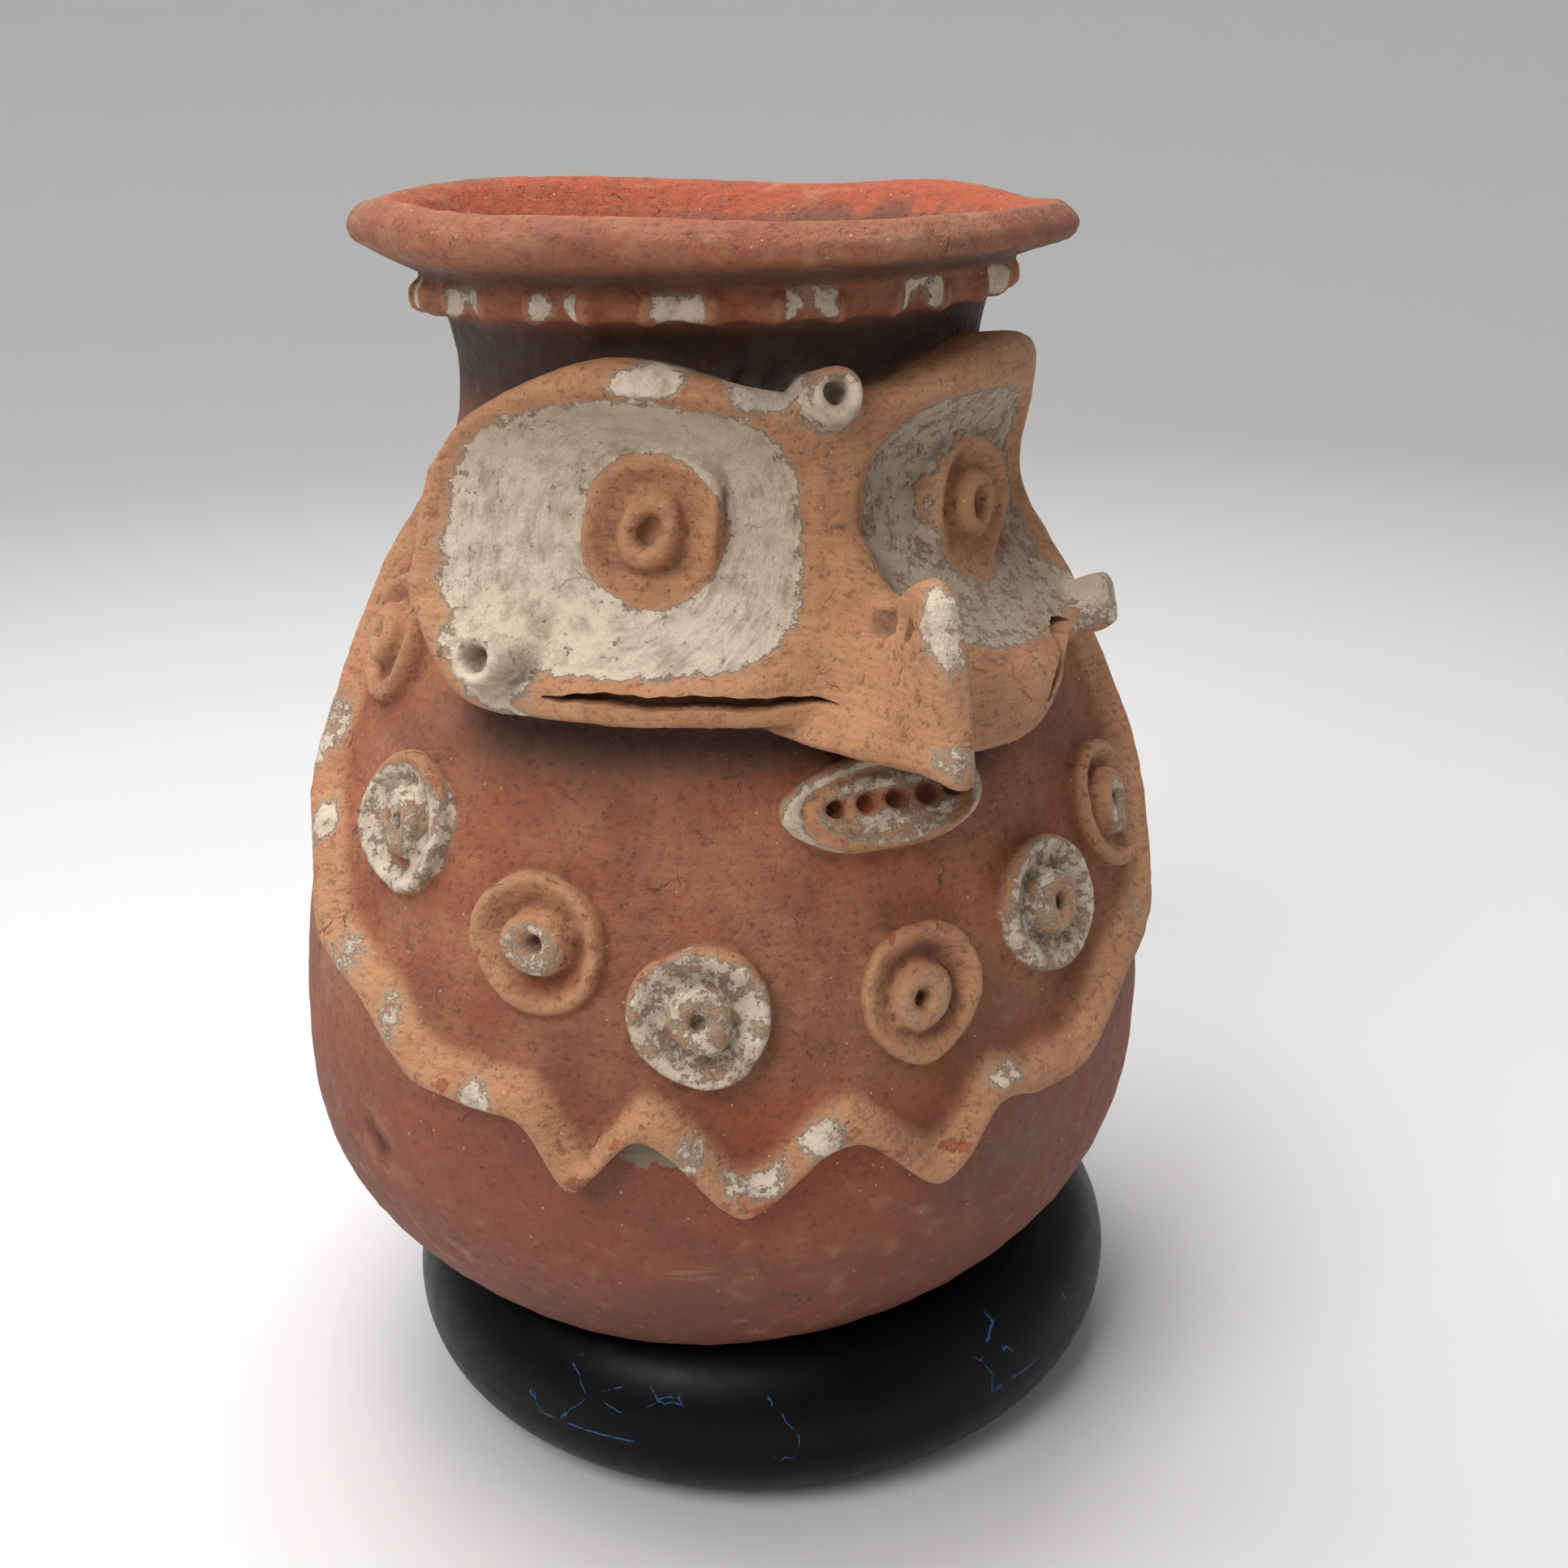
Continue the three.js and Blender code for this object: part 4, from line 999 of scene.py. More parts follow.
def paint_cover(angle, radius, z, stand, dish, applied):
    """How thickly the paint covers each place, from 0 to 1."""
    sizes = bpy.context.scene.jar_sizes
    mask_z = z - tilted(angle)
    away_from_eye = eye_distance(angle, radius, mask_z) - sizes.eye_disc_radius
    brow_shade = 0.3 * step(mask_z, EYE_HEIGHT + 36 * MM, EYE_HEIGHT + 50 * MM) * inside(angle + 48, 8)
    # The right eye dish keeps less paint, so more dark clay shows there: partly real bare clay, partly
    # painted shade
    cover = dish * (0.72 - brow_shade - 0.12 * step(angle, 0, 4)) * step(away_from_eye, -3 * MM, 2 * MM)
    for disc_angle, disc_z, ring_paint, knob_paint in CHEST_DISCS:
        slope_z = (z - disc_z) / math.cos(float(wall_slope(disc_z)))
        away = np.hypot(np.radians(angle - disc_angle) * wall_radius(disc_z), slope_z)
        on = inside(away - sizes.disc_radius, 2 * MM) * step(stand, 0, 3 * MM)
        knob = inside(away - KNOB_RADIUS, 2 * MM)
        cover = np.maximum(cover, 0.58 * on * mix(ring_paint, knob_paint, knob))
    print_index = np.floor((angle - FIRST_PRINT_ANGLE) * THUMB_PRINTS / 360 + 0.5)
    on_fillet = inside(np.abs(z - FILLET_HEIGHT) - 7 * MM, 3 * MM) * step(radius, 0.132, 0.135)
    in_print = step(thumb_press(angle), 0.3, 0.6)
    cover = np.maximum(cover, 0.74 * on_fillet * (print_index % 2 == 0) * in_print)
    across = np.radians(angle - MOUTH_ANGLE) * radius / MOUTH_HALF_WIDTH
    up_wall = (z - MOUTH_HEIGHT) / math.cos(float(wall_slope(MOUTH_HEIGHT)))
    lips = np.hypot(across, up_wall / MOUTH_HALF_HEIGHT)
    on_lips = np.maximum(0.68 * inside(np.abs(lips - 0.93) - 0.1, 0.06), 0.5 * inside(lips - 0.7, 0.05))
    near_mouth = inside(np.abs(z - MOUTH_HEIGHT) - 24 * MM, 2 * MM)
    cover = np.maximum(cover, on_lips * step(stand, 4 * MM, 7 * MM) * near_mouth)
    cover = np.maximum(cover, patches(FACE_PAINT, angle, radius, z) * applied)
    on_ledge = patches(LEDGE_PAINT, angle, radius, z) * step(stand, 3 * MM, 8 * MM)
    cover = np.maximum(cover, 0.72 * on_ledge)
    cover = np.maximum(cover, patches(BLADE_PAINT, angle, radius, z) * step(radius, 220 * MM, 228 * MM))
    return np.maximum(cover, patches(SCAR_PAINT, angle, radius, z))


def worn_edges_shaded_hollows(jar):
    """How far each place stands out of its neighbourhood: edges are over 0 and hollows under 0. The finish
    rubs the edges paler, a real wear, and paints shade into the hollows.
    """
    points = read_points(jar)
    edges = np.empty(len(jar.data.edges) * 2, np.int32)
    jar.data.edges.foreach_get("vertices", edges)
    a, b = edges.reshape(-1, 2).T
    count = np.maximum(np.bincount(np.concatenate([a, b]), minlength=len(points)), 1)[:, None]
    smooth = points.copy()
    for _ in range(6):
        total = np.stack([
            np.bincount(a, smooth[b, axis], len(points)) + np.bincount(b, smooth[a, axis], len(points))
            for axis in range(3)
        ], axis=-1)
        smooth = 0.5 * smooth + 0.5 * total / count
    return np.einsum("ij,ij->i", points - smooth, read_normals(jar)) / MM


def painted_shade_cover(angle, radius, z, stand):
    """Painted shade: on the neck under the collar, round the fillet and under the jaw."""
    neck = step(z, 490 * MM, 528 * MM) * inside(z - 552 * MM, 5 * MM) * inside(stand - 6 * MM, 5 * MM)
    collar = 0.75 * inside(np.abs(z - 572 * MM) - 5 * MM, 4 * MM) * step(radius, 120 * MM, 126 * MM)
    low, _ = mask_edges(angle)
    under_jaw = inside(np.abs(z - low + 8 * MM) - 14 * MM, 12 * MM) * inside(np.abs(angle) - 62, 8)
    return np.maximum(np.maximum(0.92 * neck, collar), 0.85 * under_jaw * inside(stand - 10 * MM, 6 * MM))


def shape_ring():
    """The support ring: a soft tube, flat where it stands, and pressed in where the jar sits."""
    ring = bpy.context.scene.ring_settings
    deselect()
    bpy.ops.mesh.primitive_torus_add(
        major_segments=288, minor_segments=96,
        major_radius=ring.ring_radius, minor_radius=ring.tube_radius,
    )
    piece = bpy.context.object
    piece.name = "Support_ring"
    points = read_points(piece)
    turn = np.arctan2(points[:, 0], -points[:, 1])
    out = np.hypot(points[:, 0], points[:, 1]) - ring.ring_radius
    up = points[:, 2]
    section = np.arctan2(up, out)
    seam = 0.35 * MM * np.exp(-((up + ring.tube_radius - SEAM_HEIGHT) / (1.5 * MM)) ** 2)
    reach = np.hypot(out, up) - seam
    radius = ring.ring_radius + reach * np.cos(section)
    z = ring.tube_radius + reach * np.sin(section)
    foot = ring.tube_radius * (1 - math.cos(math.pi / 12)) * 0.6
    z = np.maximum(z, foot) - foot
    placed = np.stack([RING_X + radius * np.sin(turn), RING_Y - radius * np.cos(turn), z], axis=-1)
    write_points(piece, press_seat(placed))
    turn_outwards(piece)
    bpy.ops.object.shade_smooth()
    angle, radius, z = locate(read_points(piece))
    write_fields(piece, {
        "cracked": patches(RING_CRACKS, angle, radius, z),
        "seam_cracked": patches(RING_SEAM_CRACKS, angle, radius, z),
    })
    return piece


def press_seat(points):
    """Moves points that would be inside the jar to just off its wall."""
    sizes = bpy.context.scene.jar_sizes
    for _ in range(6):
        angle, radius, z = locate(points)
        gap = 1.4 * MM + SEAT_GAP
        turn = np.radians(angle)
        uneven = 1.4 * MM * np.sin(2 * turn + z / 0.09) + 0.9 * MM * np.sin(5 * turn - z / 0.047)
        wall = wall_radius(np.maximum(z, JAR_LIFT)) + uneven + gap
        sink = np.where((z < sizes.belly_height) & (z > JAR_LIFT - gap), wall - radius, 0)
        sink = np.maximum(sink, 0)
        slope = wall_slope(np.maximum(z, JAR_LIFT + 9 * MM))
        push = sink * np.cos(slope) * 0.9
        points = points + np.stack([
            push * np.cos(slope) * np.sin(turn),
            -push * np.cos(slope) * np.cos(turn),
            push * np.sin(slope),
        ], axis=-1)
    points[:, 2] = np.maximum(points[:, 2], 0)
    return points


class OBJECT_OT_support_ring(bpy.types.Operator):
    """Models the black ring that the jar stands in"""

    bl_idname = "object.support_ring"
    bl_label = "Support ring"

    def execute(self, context):
        ring = shape_ring()
        ring.data.materials.append(black_coat())
        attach(ring, "root")
        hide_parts("support_ring")
        return {"FINISHED"}


SMOOTH = {"interpolation_type": "SMOOTHSTEP"}
COLOUR = {"data_type": "RGBA"}


def new_material(name):
    """An empty material with its node tree and shader."""
    material = bpy.data.materials.new(name)
    material.use_nodes = True
    tree = material.node_tree
    return material, tree, tree.nodes["Principled BSDF"]


def add(tree, kind, settings=None, inputs=None, output=0):
    """Adds a node with its settings and its inputs, each a value or a socket to link, and gives an output."""
    node = tree.nodes.new(kind)
    for name, value in (settings or {}).items():
        setattr(node, name, value)
    for name, value in (inputs or {}).items():
        if isinstance(value, bpy.types.NodeSocket):
            tree.links.new(value, node.inputs[name])
        else:
            node.inputs[name].default_value = value
    return node.outputs[output]


class Finish:
    """A material that is being made: its node tree, shader and the object's own coordinates."""

    def __init__(self, name):
        self.material, self.tree, self.shader = new_material(name)
        self.spot = self.node("ShaderNodeTexCoord", output="Object")

    def node(self, kind, settings=None, inputs=None, output=0):
        return add(self.tree, kind, settings, inputs, output)

    def join(self, value, socket):
        self.tree.links.new(value, self.shader.inputs[socket])


def fired_clay():
    """Terracotta: coiled, slipped and burnished by hand, open-fired, then painted with lime."""
    colours = bpy.context.scene.clay_colours
    finish = Finish("Terracotta with red slip and lime paint")
    add_node = finish.node

    names = ("paint", "grey_paint_and_shade", "applied", "chip", "repair", "smoke", "scrape", "worn_edges_shaded_hollows", "painted_shade", "eye", "inner")
    fields = [add_node("ShaderNodeAttribute", {"attribute_name": name}, output="Fac") for name in names]
    paint, grey_paint_and_shade, applied, chip, repair, smoke, scrape, edges_worn_hollows_shaded, painted_shade, eye, inner = fields
    height = add_node("ShaderNodeSeparateXYZ", {}, {"Vector": finish.spot}, output="Z")

    # Clay: red slip, browner in cloudy patches, darkened to purple-brown low down as painted shade, and buff
    # where it was applied
    clay = add_node("ShaderNodeMix", COLOUR, {
        "Factor": add_node("ShaderNodeMapRange", SMOOTH, {
            "Value": add_node("ShaderNodeTexNoise", {}, {
                "Vector": finish.spot, "Scale": 1 / (70 * MM), "Detail": 4.0, "Roughness": 0.55,
            }),
            "From Min": 0.4, "From Max": 0.65,
        }),
        6: colours.slip[:], 7: colours.slip_dull[:],
    }, output=2)
    # Painted shade: the slip darkens towards the bottom of the belly, where less light falls
    low = add_node("ShaderNodeMath", {"operation": "MULTIPLY"}, {
        0: add_node("ShaderNodeMapRange", SMOOTH, {"Value": height, "From Min": 0.24, "From Max": 0.09}),
        1: add_node("ShaderNodeMapRange", SMOOTH, {
            "Value": add_node("ShaderNodeTexNoise", {}, {
                "Vector": finish.spot, "Scale": 1 / (45 * MM), "Detail": 4.0, "Roughness": 0.55,
            }),
            "From Min": 0.3, "From Max": 0.7, "To Min": 0.5, "To Max": 1,
        }),
    })
    clay = add_node("ShaderNodeMix", COLOUR, {"Factor": low, 6: clay, 7: colours.shaded_low_slip[:]}, output=2)
    chest = add_node("ShaderNodeMath", {"operation": "MULTIPLY"}, {
        0: add_node("ShaderNodeMapRange", SMOOTH, {"Value": height, "From Min": 0.22, "From Max": 0.27}),
        1: add_node("ShaderNodeMapRange", SMOOTH, {
            "Value": add_node("ShaderNodeTexNoise", {}, {
                "Vector": finish.spot, "Scale": 1 / (30 * MM), "Detail": 5, "Roughness": 0.55,
            }),
            "From Min": 0.3, "From Max": 0.7, "To Min": 0.05, "To Max": 0.4,
        }),
    })
    bare_share = add_node("ShaderNodeMath", {"operation": "MAXIMUM"}, {
        0: chest,
        1: add_node("ShaderNodeMath", {"operation": "MULTIPLY"}, {
            0: applied,
            1: add_node("ShaderNodeMapRange", SMOOTH, {
                "Value": add_node("ShaderNodeTexNoise", {}, {
                    "Vector": finish.spot, "Scale": 1 / (24 * MM), "Detail": 5, "Roughness": 0.55,
                }),
                "From Min": 0.3, "From Max": 0.6, "To Min": 0.75, "To Max": 1,
            }),
        }),
    })
    clay = add_node("ShaderNodeMix", COLOUR, {
        "Factor": bare_share, 6: clay, 7: colours.bare[:],
    }, output=2)
    clay = add_node("ShaderNodeMix", COLOUR, {"Factor": inner, 6: clay, 7: colours.inside[:]}, output=2)
    clay = add_node("ShaderNodeMix", COLOUR, {
        "Factor": add_node("ShaderNodeMapRange", SMOOTH, {
            "Value": add_node("ShaderNodeTexNoise", {}, {
                "Vector": finish.spot, "Scale": 1 / (6 * MM), "Detail": 9, "Roughness": 0.75,
            }),
            "From Min": 0.52, "From Max": 0.75, "To Min": 0, "To Max": 0.3,
        }),
        6: clay, 7: colours.buff[:],
    }, output=2)
    clay = add_node("ShaderNodeMix", COLOUR, {
        "Factor": add_node("ShaderNodeMapRange", SMOOTH, {
            "Value": add_node("ShaderNodeTexNoise", {}, {
                "Vector": finish.spot, "Scale": 1 / (4 * MM), "Detail": 9, "Roughness": 0.75,
            }),
            "From Min": 0.5, "From Max": 0.36, "To Min": 0, "To Max": 0.6,
        }),
        6: clay, 7: linear("#5e3424"),
    }, output=2)
    stretched = add_node("ShaderNodeMapping", {}, {"Vector": finish.spot, "Scale": (0.1, 0.1, 1)})
    burnish = add_node("ShaderNodeTexNoise", {}, {
        "Vector": stretched, "Scale": 1 / (1.8 * MM), "Detail": 4, "Roughness": 0.6,
    })
    clay = add_node("ShaderNodeMix", COLOUR, {
        "Factor": add_node("ShaderNodeMapRange", SMOOTH, {
            "Value": burnish, "From Min": 0.4, "From Max": 0.75, "To Min": 0, "To Max": 0.3,
        }),
        6: clay, 7: linear("#74432f"),
    }, output=2)
    clay = add_node("ShaderNodeMix", COLOUR, {
        "Factor": add_node("ShaderNodeMapRange", SMOOTH, {
            "Value": edges_worn_hollows_shaded, "From Min": 0.3, "From Max": 0.8, "To Min": 0, "To Max": 0.5,
        }),
        6: clay, 7: colours.buff[:],
    }, output=2)

    # Specks of temper, light and dark, and fine drying cracks
    speck = add_node("ShaderNodeMapRange", SMOOTH, {
        "Value": add_node("ShaderNodeTexVoronoi", {"feature": "F1"}, {
            "Vector": finish.spot, "Scale": 1 / (7 * MM),
        }, output="Distance"),
        "From Min": 0.05, "From Max": 0.1, "To Min": 1, "To Max": 0,
    })
    speck_tone = add_node("ShaderNodeMapRange", SMOOTH, {
        "Value": add_node("ShaderNodeTexVoronoi", {"feature": "F1"}, {
            "Vector": finish.spot, "Scale": 1 / (7 * MM),
        }, output="Color"),
        "From Min": 0.5, "From Max": 0.55,
    })
    clay = add_node("ShaderNodeMix", COLOUR, {
        "Factor": add_node("ShaderNodeMath", {"operation": "MULTIPLY"}, {0: speck, 1: 0.75}), 6: clay,
        7: add_node("ShaderNodeMix", COLOUR, {
            "Factor": speck_tone, 6: linear("#45291e"), 7: linear("#dcc4a4"),
        }, output=2),
    }, output=2)
    shake = add_node("ShaderNodeTexNoise", {}, {"Vector": finish.spot, "Scale": 60.0, "Detail": 4.0}, "Color")
    shaken = add_node("ShaderNodeVectorMath", {"operation": "MULTIPLY_ADD"}, {
        0: shake, 1: (0.02,) * 3, 2: finish.spot,
    })
    crack_line = add_node("ShaderNodeMapRange", SMOOTH, {
        "Value": add_node("ShaderNodeTexVoronoi", {"feature": "DISTANCE_TO_EDGE"}, {
            "Vector": shaken, "Scale": 1 / (38 * MM),
        }, output="Distance"),
        "From Min": 0.002, "From Max": 0.009, "To Min": 1, "To Max": 0,
    })
    crack = add_node("ShaderNodeMath", {"operation": "MULTIPLY"}, {
        0: crack_line,
        1: add_node("ShaderNodeMapRange", SMOOTH, {
            "Value": add_node("ShaderNodeTexNoise", {}, {
                "Vector": finish.spot, "Scale": 1 / (22 * MM), "Detail": 4, "Roughness": 0.55,
            }),
            "From Min": 0.58, "From Max": 0.66, "To Min": 0, "To Max": 0.8,
        }),
    })
    clay = add_node("ShaderNodeMix", COLOUR, {
        "Factor": add_node("ShaderNodeMath", {"operation": "MULTIPLY"}, {0: crack, 1: 0.8}), 6: clay,
        7: colours.shade[:],
    }, output=2)

    # Chips to fresh clay, an old repair, smoke and a pale scrape
    edge_chip = add_node("ShaderNodeMath", {"operation": "MULTIPLY"}, {
        0: add_node("ShaderNodeMapRange", SMOOTH, {
            "Value": edges_worn_hollows_shaded, "From Min": 0.25, "From Max": 0.6,
        }),
        1: add_node("ShaderNodeMapRange", SMOOTH, {
            "Value": add_node("ShaderNodeTexNoise", {}, {
                "Vector": finish.spot, "Scale": 1 / (11 * MM), "Detail": 6, "Roughness": 0.7,
            }),
            "From Min": 0.58, "From Max": 0.64,
        }),
    })
    edge_chip = add_node("ShaderNodeMath", {"operation": "MULTIPLY"}, {
        0: edge_chip,
        1: add_node("ShaderNodeMapRange", SMOOTH, {"Value": height, "From Min": 0.4, "From Max": 0.36}),
    })
    chip_share = add_node("ShaderNodeMath", {"operation": "MAXIMUM"}, {
        0: edge_chip,
        1: add_node("ShaderNodeMapRange", SMOOTH, {
            "Value": add_node("ShaderNodeMath", {"operation": "MULTIPLY"}, {
                0: chip,
                1: add_node("ShaderNodeTexNoise", {}, {
                    "Vector": finish.spot, "Scale": 1 / (5 * MM), "Detail": 6, "Roughness": 0.7,
                }),
            }),
            "From Min": 0.33, "From Max": 0.42,
        }),
    })
    clay = add_node("ShaderNodeMix", COLOUR, {
        "Factor": add_node("ShaderNodeMath", {"operation": "MULTIPLY"}, {0: chip_share, 1: 0.8}), 6: clay,
        7: colours.chip[:],
    }, output=2)
    clay = add_node("ShaderNodeMix", COLOUR, {
        "Factor": add_node("ShaderNodeMapRange", SMOOTH, {
            "Value": add_node("ShaderNodeMath", {"operation": "MULTIPLY"}, {
                0: repair,
                1: add_node("ShaderNodeTexNoise", {}, {
                    "Vector": finish.spot, "Scale": 1 / (9 * MM), "Detail": 4, "Roughness": 0.55,
                }),
            }),
            "From Min": 0.3, "From Max": 0.38,
        }),
        6: clay, 7: colours.repair[:],
    }, output=2)
    clay = add_node("ShaderNodeMix", COLOUR, {
        "Factor": add_node("ShaderNodeMath", {"operation": "MULTIPLY"}, {
            0: smoke,
            1: add_node("ShaderNodeMapRange", SMOOTH, {
                "Value": add_node("ShaderNodeTexNoise", {}, {
                    "Vector": finish.spot, "Scale": 1 / (14 * MM), "Detail": 5, "Roughness": 0.55,
                }),
                "From Min": 0.3, "From Max": 0.6,
            }),
        }),
        6: clay, 7: colours.smoke[:],
    }, output=2)
    clay = add_node("ShaderNodeMix", COLOUR, {
        "Factor": add_node("ShaderNodeMath", {"operation": "MULTIPLY"}, {
            0: scrape,
            1: add_node("ShaderNodeMapRange", SMOOTH, {
                "Value": burnish, "From Min": 0.4, "From Max": 0.6,
            }),
        }),
        6: clay, 7: colours.buff[:],
    }, output=2)

    # Paint, brushed round the eyes, thinly laid and grey in streaks, flaked off in places, and greyed as
    # painted shade in the right eye dish and under the brow
    compressed = add_node("ShaderNodeVectorMath", {"operation": "SCALE"}, {
        "Vector": finish.spot, "Scale": 0.3,
    })
    around_eye = add_node("ShaderNodeCombineXYZ", {}, {"X": eye, "Y": 0.0, "Z": 0.0})
    brushed = add_node("ShaderNodeVectorMath", {"operation": "ADD"}, {0: compressed, 1: around_eye})
    strokes = add_node("ShaderNodeTexNoise", {}, {
        "Vector": brushed, "Scale": 1 / (3.2 * MM), "Detail": 8, "Roughness": 0.72,
    })
    flakes = add_node("ShaderNodeMath", {"operation": "SUBTRACT"}, {
        0: add_node("ShaderNodeTexNoise", {}, {
            "Vector": finish.spot, "Scale": 1 / (7 * MM), "Detail": 10, "Roughness": 0.8,
        }),
        1: 0.5,
    })
    cover = add_node("ShaderNodeMath", {"operation": "ADD"}, {
        0: paint, 1: add_node("ShaderNodeMath", {"operation": "MULTIPLY"}, {0: flakes, 1: 1.7}),
    })
    cover = add_node("ShaderNodeMath", {"operation": "ADD"}, {
        0: cover,
        1: add_node("ShaderNodeMath", {"operation": "MULTIPLY"}, {
            0: add_node("ShaderNodeMath", {"operation": "SUBTRACT"}, {0: strokes, 1: 0.5}), 1: 0.5,
        }),
    })
    painted = add_node("ShaderNodeMapRange", SMOOTH, {"Value": cover, "From Min": 0.46, "From Max": 0.53})
    veil = add_node("ShaderNodeMapRange", SMOOTH, {
        "Value": cover, "From Min": 0.2, "From Max": 0.5, "To Min": 0, "To Max": 0.6,
    })
    thickness = add_node("ShaderNodeMath", {"operation": "ADD"}, {
        0: add_node("ShaderNodeMath", {"operation": "MULTIPLY"}, {0: strokes, 1: 0.5}),
        1: add_node("ShaderNodeMath", {"operation": "MULTIPLY"}, {
            0: add_node("ShaderNodeTexNoise", {}, {
                "Vector": finish.spot, "Scale": 1 / (13 * MM), "Detail": 8, "Roughness": 0.7,
            }),
            1: 0.6,
        }),
    })
    coat = add_node("ShaderNodeMix", COLOUR, {
        "Factor": add_node("ShaderNodeMapRange", SMOOTH, {
            "Value": thickness, "From Min": 0.4, "From Max": 0.62,
        }),
        6: colours.grey_and_shaded_paint[:], 7: colours.paint[:],
    }, output=2)
    # Painted shade: the paint is greyed in the right eye dish and under the brow, together with the real grey
    # of the scar's paint
    coat = add_node("ShaderNodeMix", COLOUR, {
        "Factor": add_node("ShaderNodeMath", {"operation": "MULTIPLY"}, {0: grey_paint_and_shade, 1: 0.7}), 6: coat,
        7: colours.grey_and_shaded_paint[:],
    }, output=2)
    coat = add_node("ShaderNodeMix", COLOUR, {
        "Factor": add_node("ShaderNodeMapRange", SMOOTH, {
            "Value": add_node("ShaderNodeTexNoise", {}, {
                "Vector": finish.spot, "Scale": 1 / (2.2 * MM), "Detail": 5, "Roughness": 0.7,
            }),
            "From Min": 0.6, "From Max": 0.72, "To Min": 0, "To Max": 0.5,
        }),
        6: coat, 7: linear("#7b5a45"),
    }, output=2)
    surface = add_node("ShaderNodeMix", COLOUR, {
        "Factor": veil, 6: clay, 7: colours.grey_and_shaded_paint[:],
    }, output=2)
    surface = add_node("ShaderNodeMix", COLOUR, {"Factor": painted, 6: surface, 7: coat}, output=2)

    # Painted shade: the hollows, the neck under the collar and the underside of the jaw are darkened towards
    # the shade colour
    painted_hollow_shade = add_node("ShaderNodeMath", {"operation": "MULTIPLY"}, {
        0: add_node("ShaderNodeMapRange", SMOOTH, {
            "Value": edges_worn_hollows_shaded, "From Min": -0.2, "From Max": -1.1,
        }),
        1: add_node("ShaderNodeMapRange", SMOOTH, {
            "Value": add_node("ShaderNodeTexNoise", {}, {
                "Vector": finish.spot, "Scale": 1 / (10 * MM), "Detail": 5, "Roughness": 0.55,
            }),
            "From Min": 0.2, "From Max": 0.6, "To Min": 0.2, "To Max": 0.6,
        }),
    })
    surface = add_node("ShaderNodeMix", COLOUR, {
        "Factor": add_node("ShaderNodeMath", {"operation": "MAXIMUM"}, {0: painted_hollow_shade, 1: painted_shade}), 6: surface,
        7: colours.shade[:],
    }, output=2)
    finish.join(surface, "Base Color")
    matt = add_node("ShaderNodeMath", {"operation": "ADD"}, {
        0: add_node("ShaderNodeMapRange", SMOOTH, {
            "Value": add_node("ShaderNodeTexNoise", {}, {
                "Vector": finish.spot, "Scale": 1 / (6 * MM), "Detail": 4.0, "Roughness": 0.55,
            }),
            "From Min": 0.3, "From Max": 0.7, "To Min": 0.52, "To Max": 0.74,
        }),
        1: add_node("ShaderNodeMath", {"operation": "MULTIPLY"}, {0: painted, 1: 0.2}),
    })
    finish.join(matt, "Roughness")

    pits = add_node("ShaderNodeMapRange", SMOOTH, {
        "Value": add_node("ShaderNodeTexVoronoi", {"feature": "F1"}, {
            "Vector": finish.spot, "Scale": 1 / (5 * MM),
        }, output="Distance"),
        "From Min": 0.1, "From Max": 0.22,
    })
    pits = add_node("ShaderNodeMath", {"operation": "MAXIMUM"}, {
        0: pits,
        1: add_node("ShaderNodeMapRange", SMOOTH, {
            "Value": add_node("ShaderNodeTexNoise", {}, {
                "Vector": finish.spot, "Scale": 1 / (18 * MM), "Detail": 3, "Roughness": 0.55,
            }),
            "From Min": 0.42, "From Max": 0.5,
        }),
    })
    relief = add_node("ShaderNodeMath", {"operation": "MULTIPLY"}, {
        0: add_node("ShaderNodeTexNoise", {}, {
            "Vector": finish.spot, "Scale": 1 / (0.9 * MM), "Detail": 5, "Roughness": 0.65,
        }),
        1: 0.4,
    })
    relief = add_node("ShaderNodeMath", {"operation": "ADD"}, {
        0: relief,
        1: add_node("ShaderNodeMath", {"operation": "MULTIPLY"}, {
            0: add_node("ShaderNodeTexNoise", {}, {
                "Vector": finish.spot, "Scale": 1 / (8 * MM), "Detail": 8, "Roughness": 0.68,
            }),
            1: 2.4,
        }),
    })
    relief = add_node("ShaderNodeMath", {"operation": "ADD"}, {
        0: relief, 1: add_node("ShaderNodeMath", {"operation": "MULTIPLY"}, {0: burnish, 1: 0.3}),
    })
    relief = add_node("ShaderNodeMath", {"operation": "ADD"}, {
        0: relief, 1: add_node("ShaderNodeMath", {"operation": "MULTIPLY"}, {0: pits, 1: 0.5}),
    })
    relief = add_node("ShaderNodeMath", {"operation": "SUBTRACT"}, {
        0: relief, 1: add_node("ShaderNodeMath", {"operation": "MULTIPLY"}, {0: crack, 1: 0.9}),
    })
    relief = add_node("ShaderNodeMath", {"operation": "SUBTRACT"}, {
        0: relief, 1: add_node("ShaderNodeMath", {"operation": "MULTIPLY"}, {0: chip_share, 1: 0.5}),
    })
    relief = add_node("ShaderNodeMath", {"operation": "ADD"}, {
        0: relief,
        1: add_node("ShaderNodeMath", {"operation": "MULTIPLY"}, {
            0: painted,
            1: add_node("ShaderNodeMath", {"operation": "ADD"}, {
                0: add_node("ShaderNodeMath", {"operation": "MULTIPLY"}, {0: strokes, 1: 0.5}), 1: 0.35,
            }),
        }),
    })
    bump = add_node("ShaderNodeBump", {}, {"Strength": 1.0, "Distance": 1.4 * MM, "Height": relief})
    finish.join(bump, "Normal")
    return finish.material


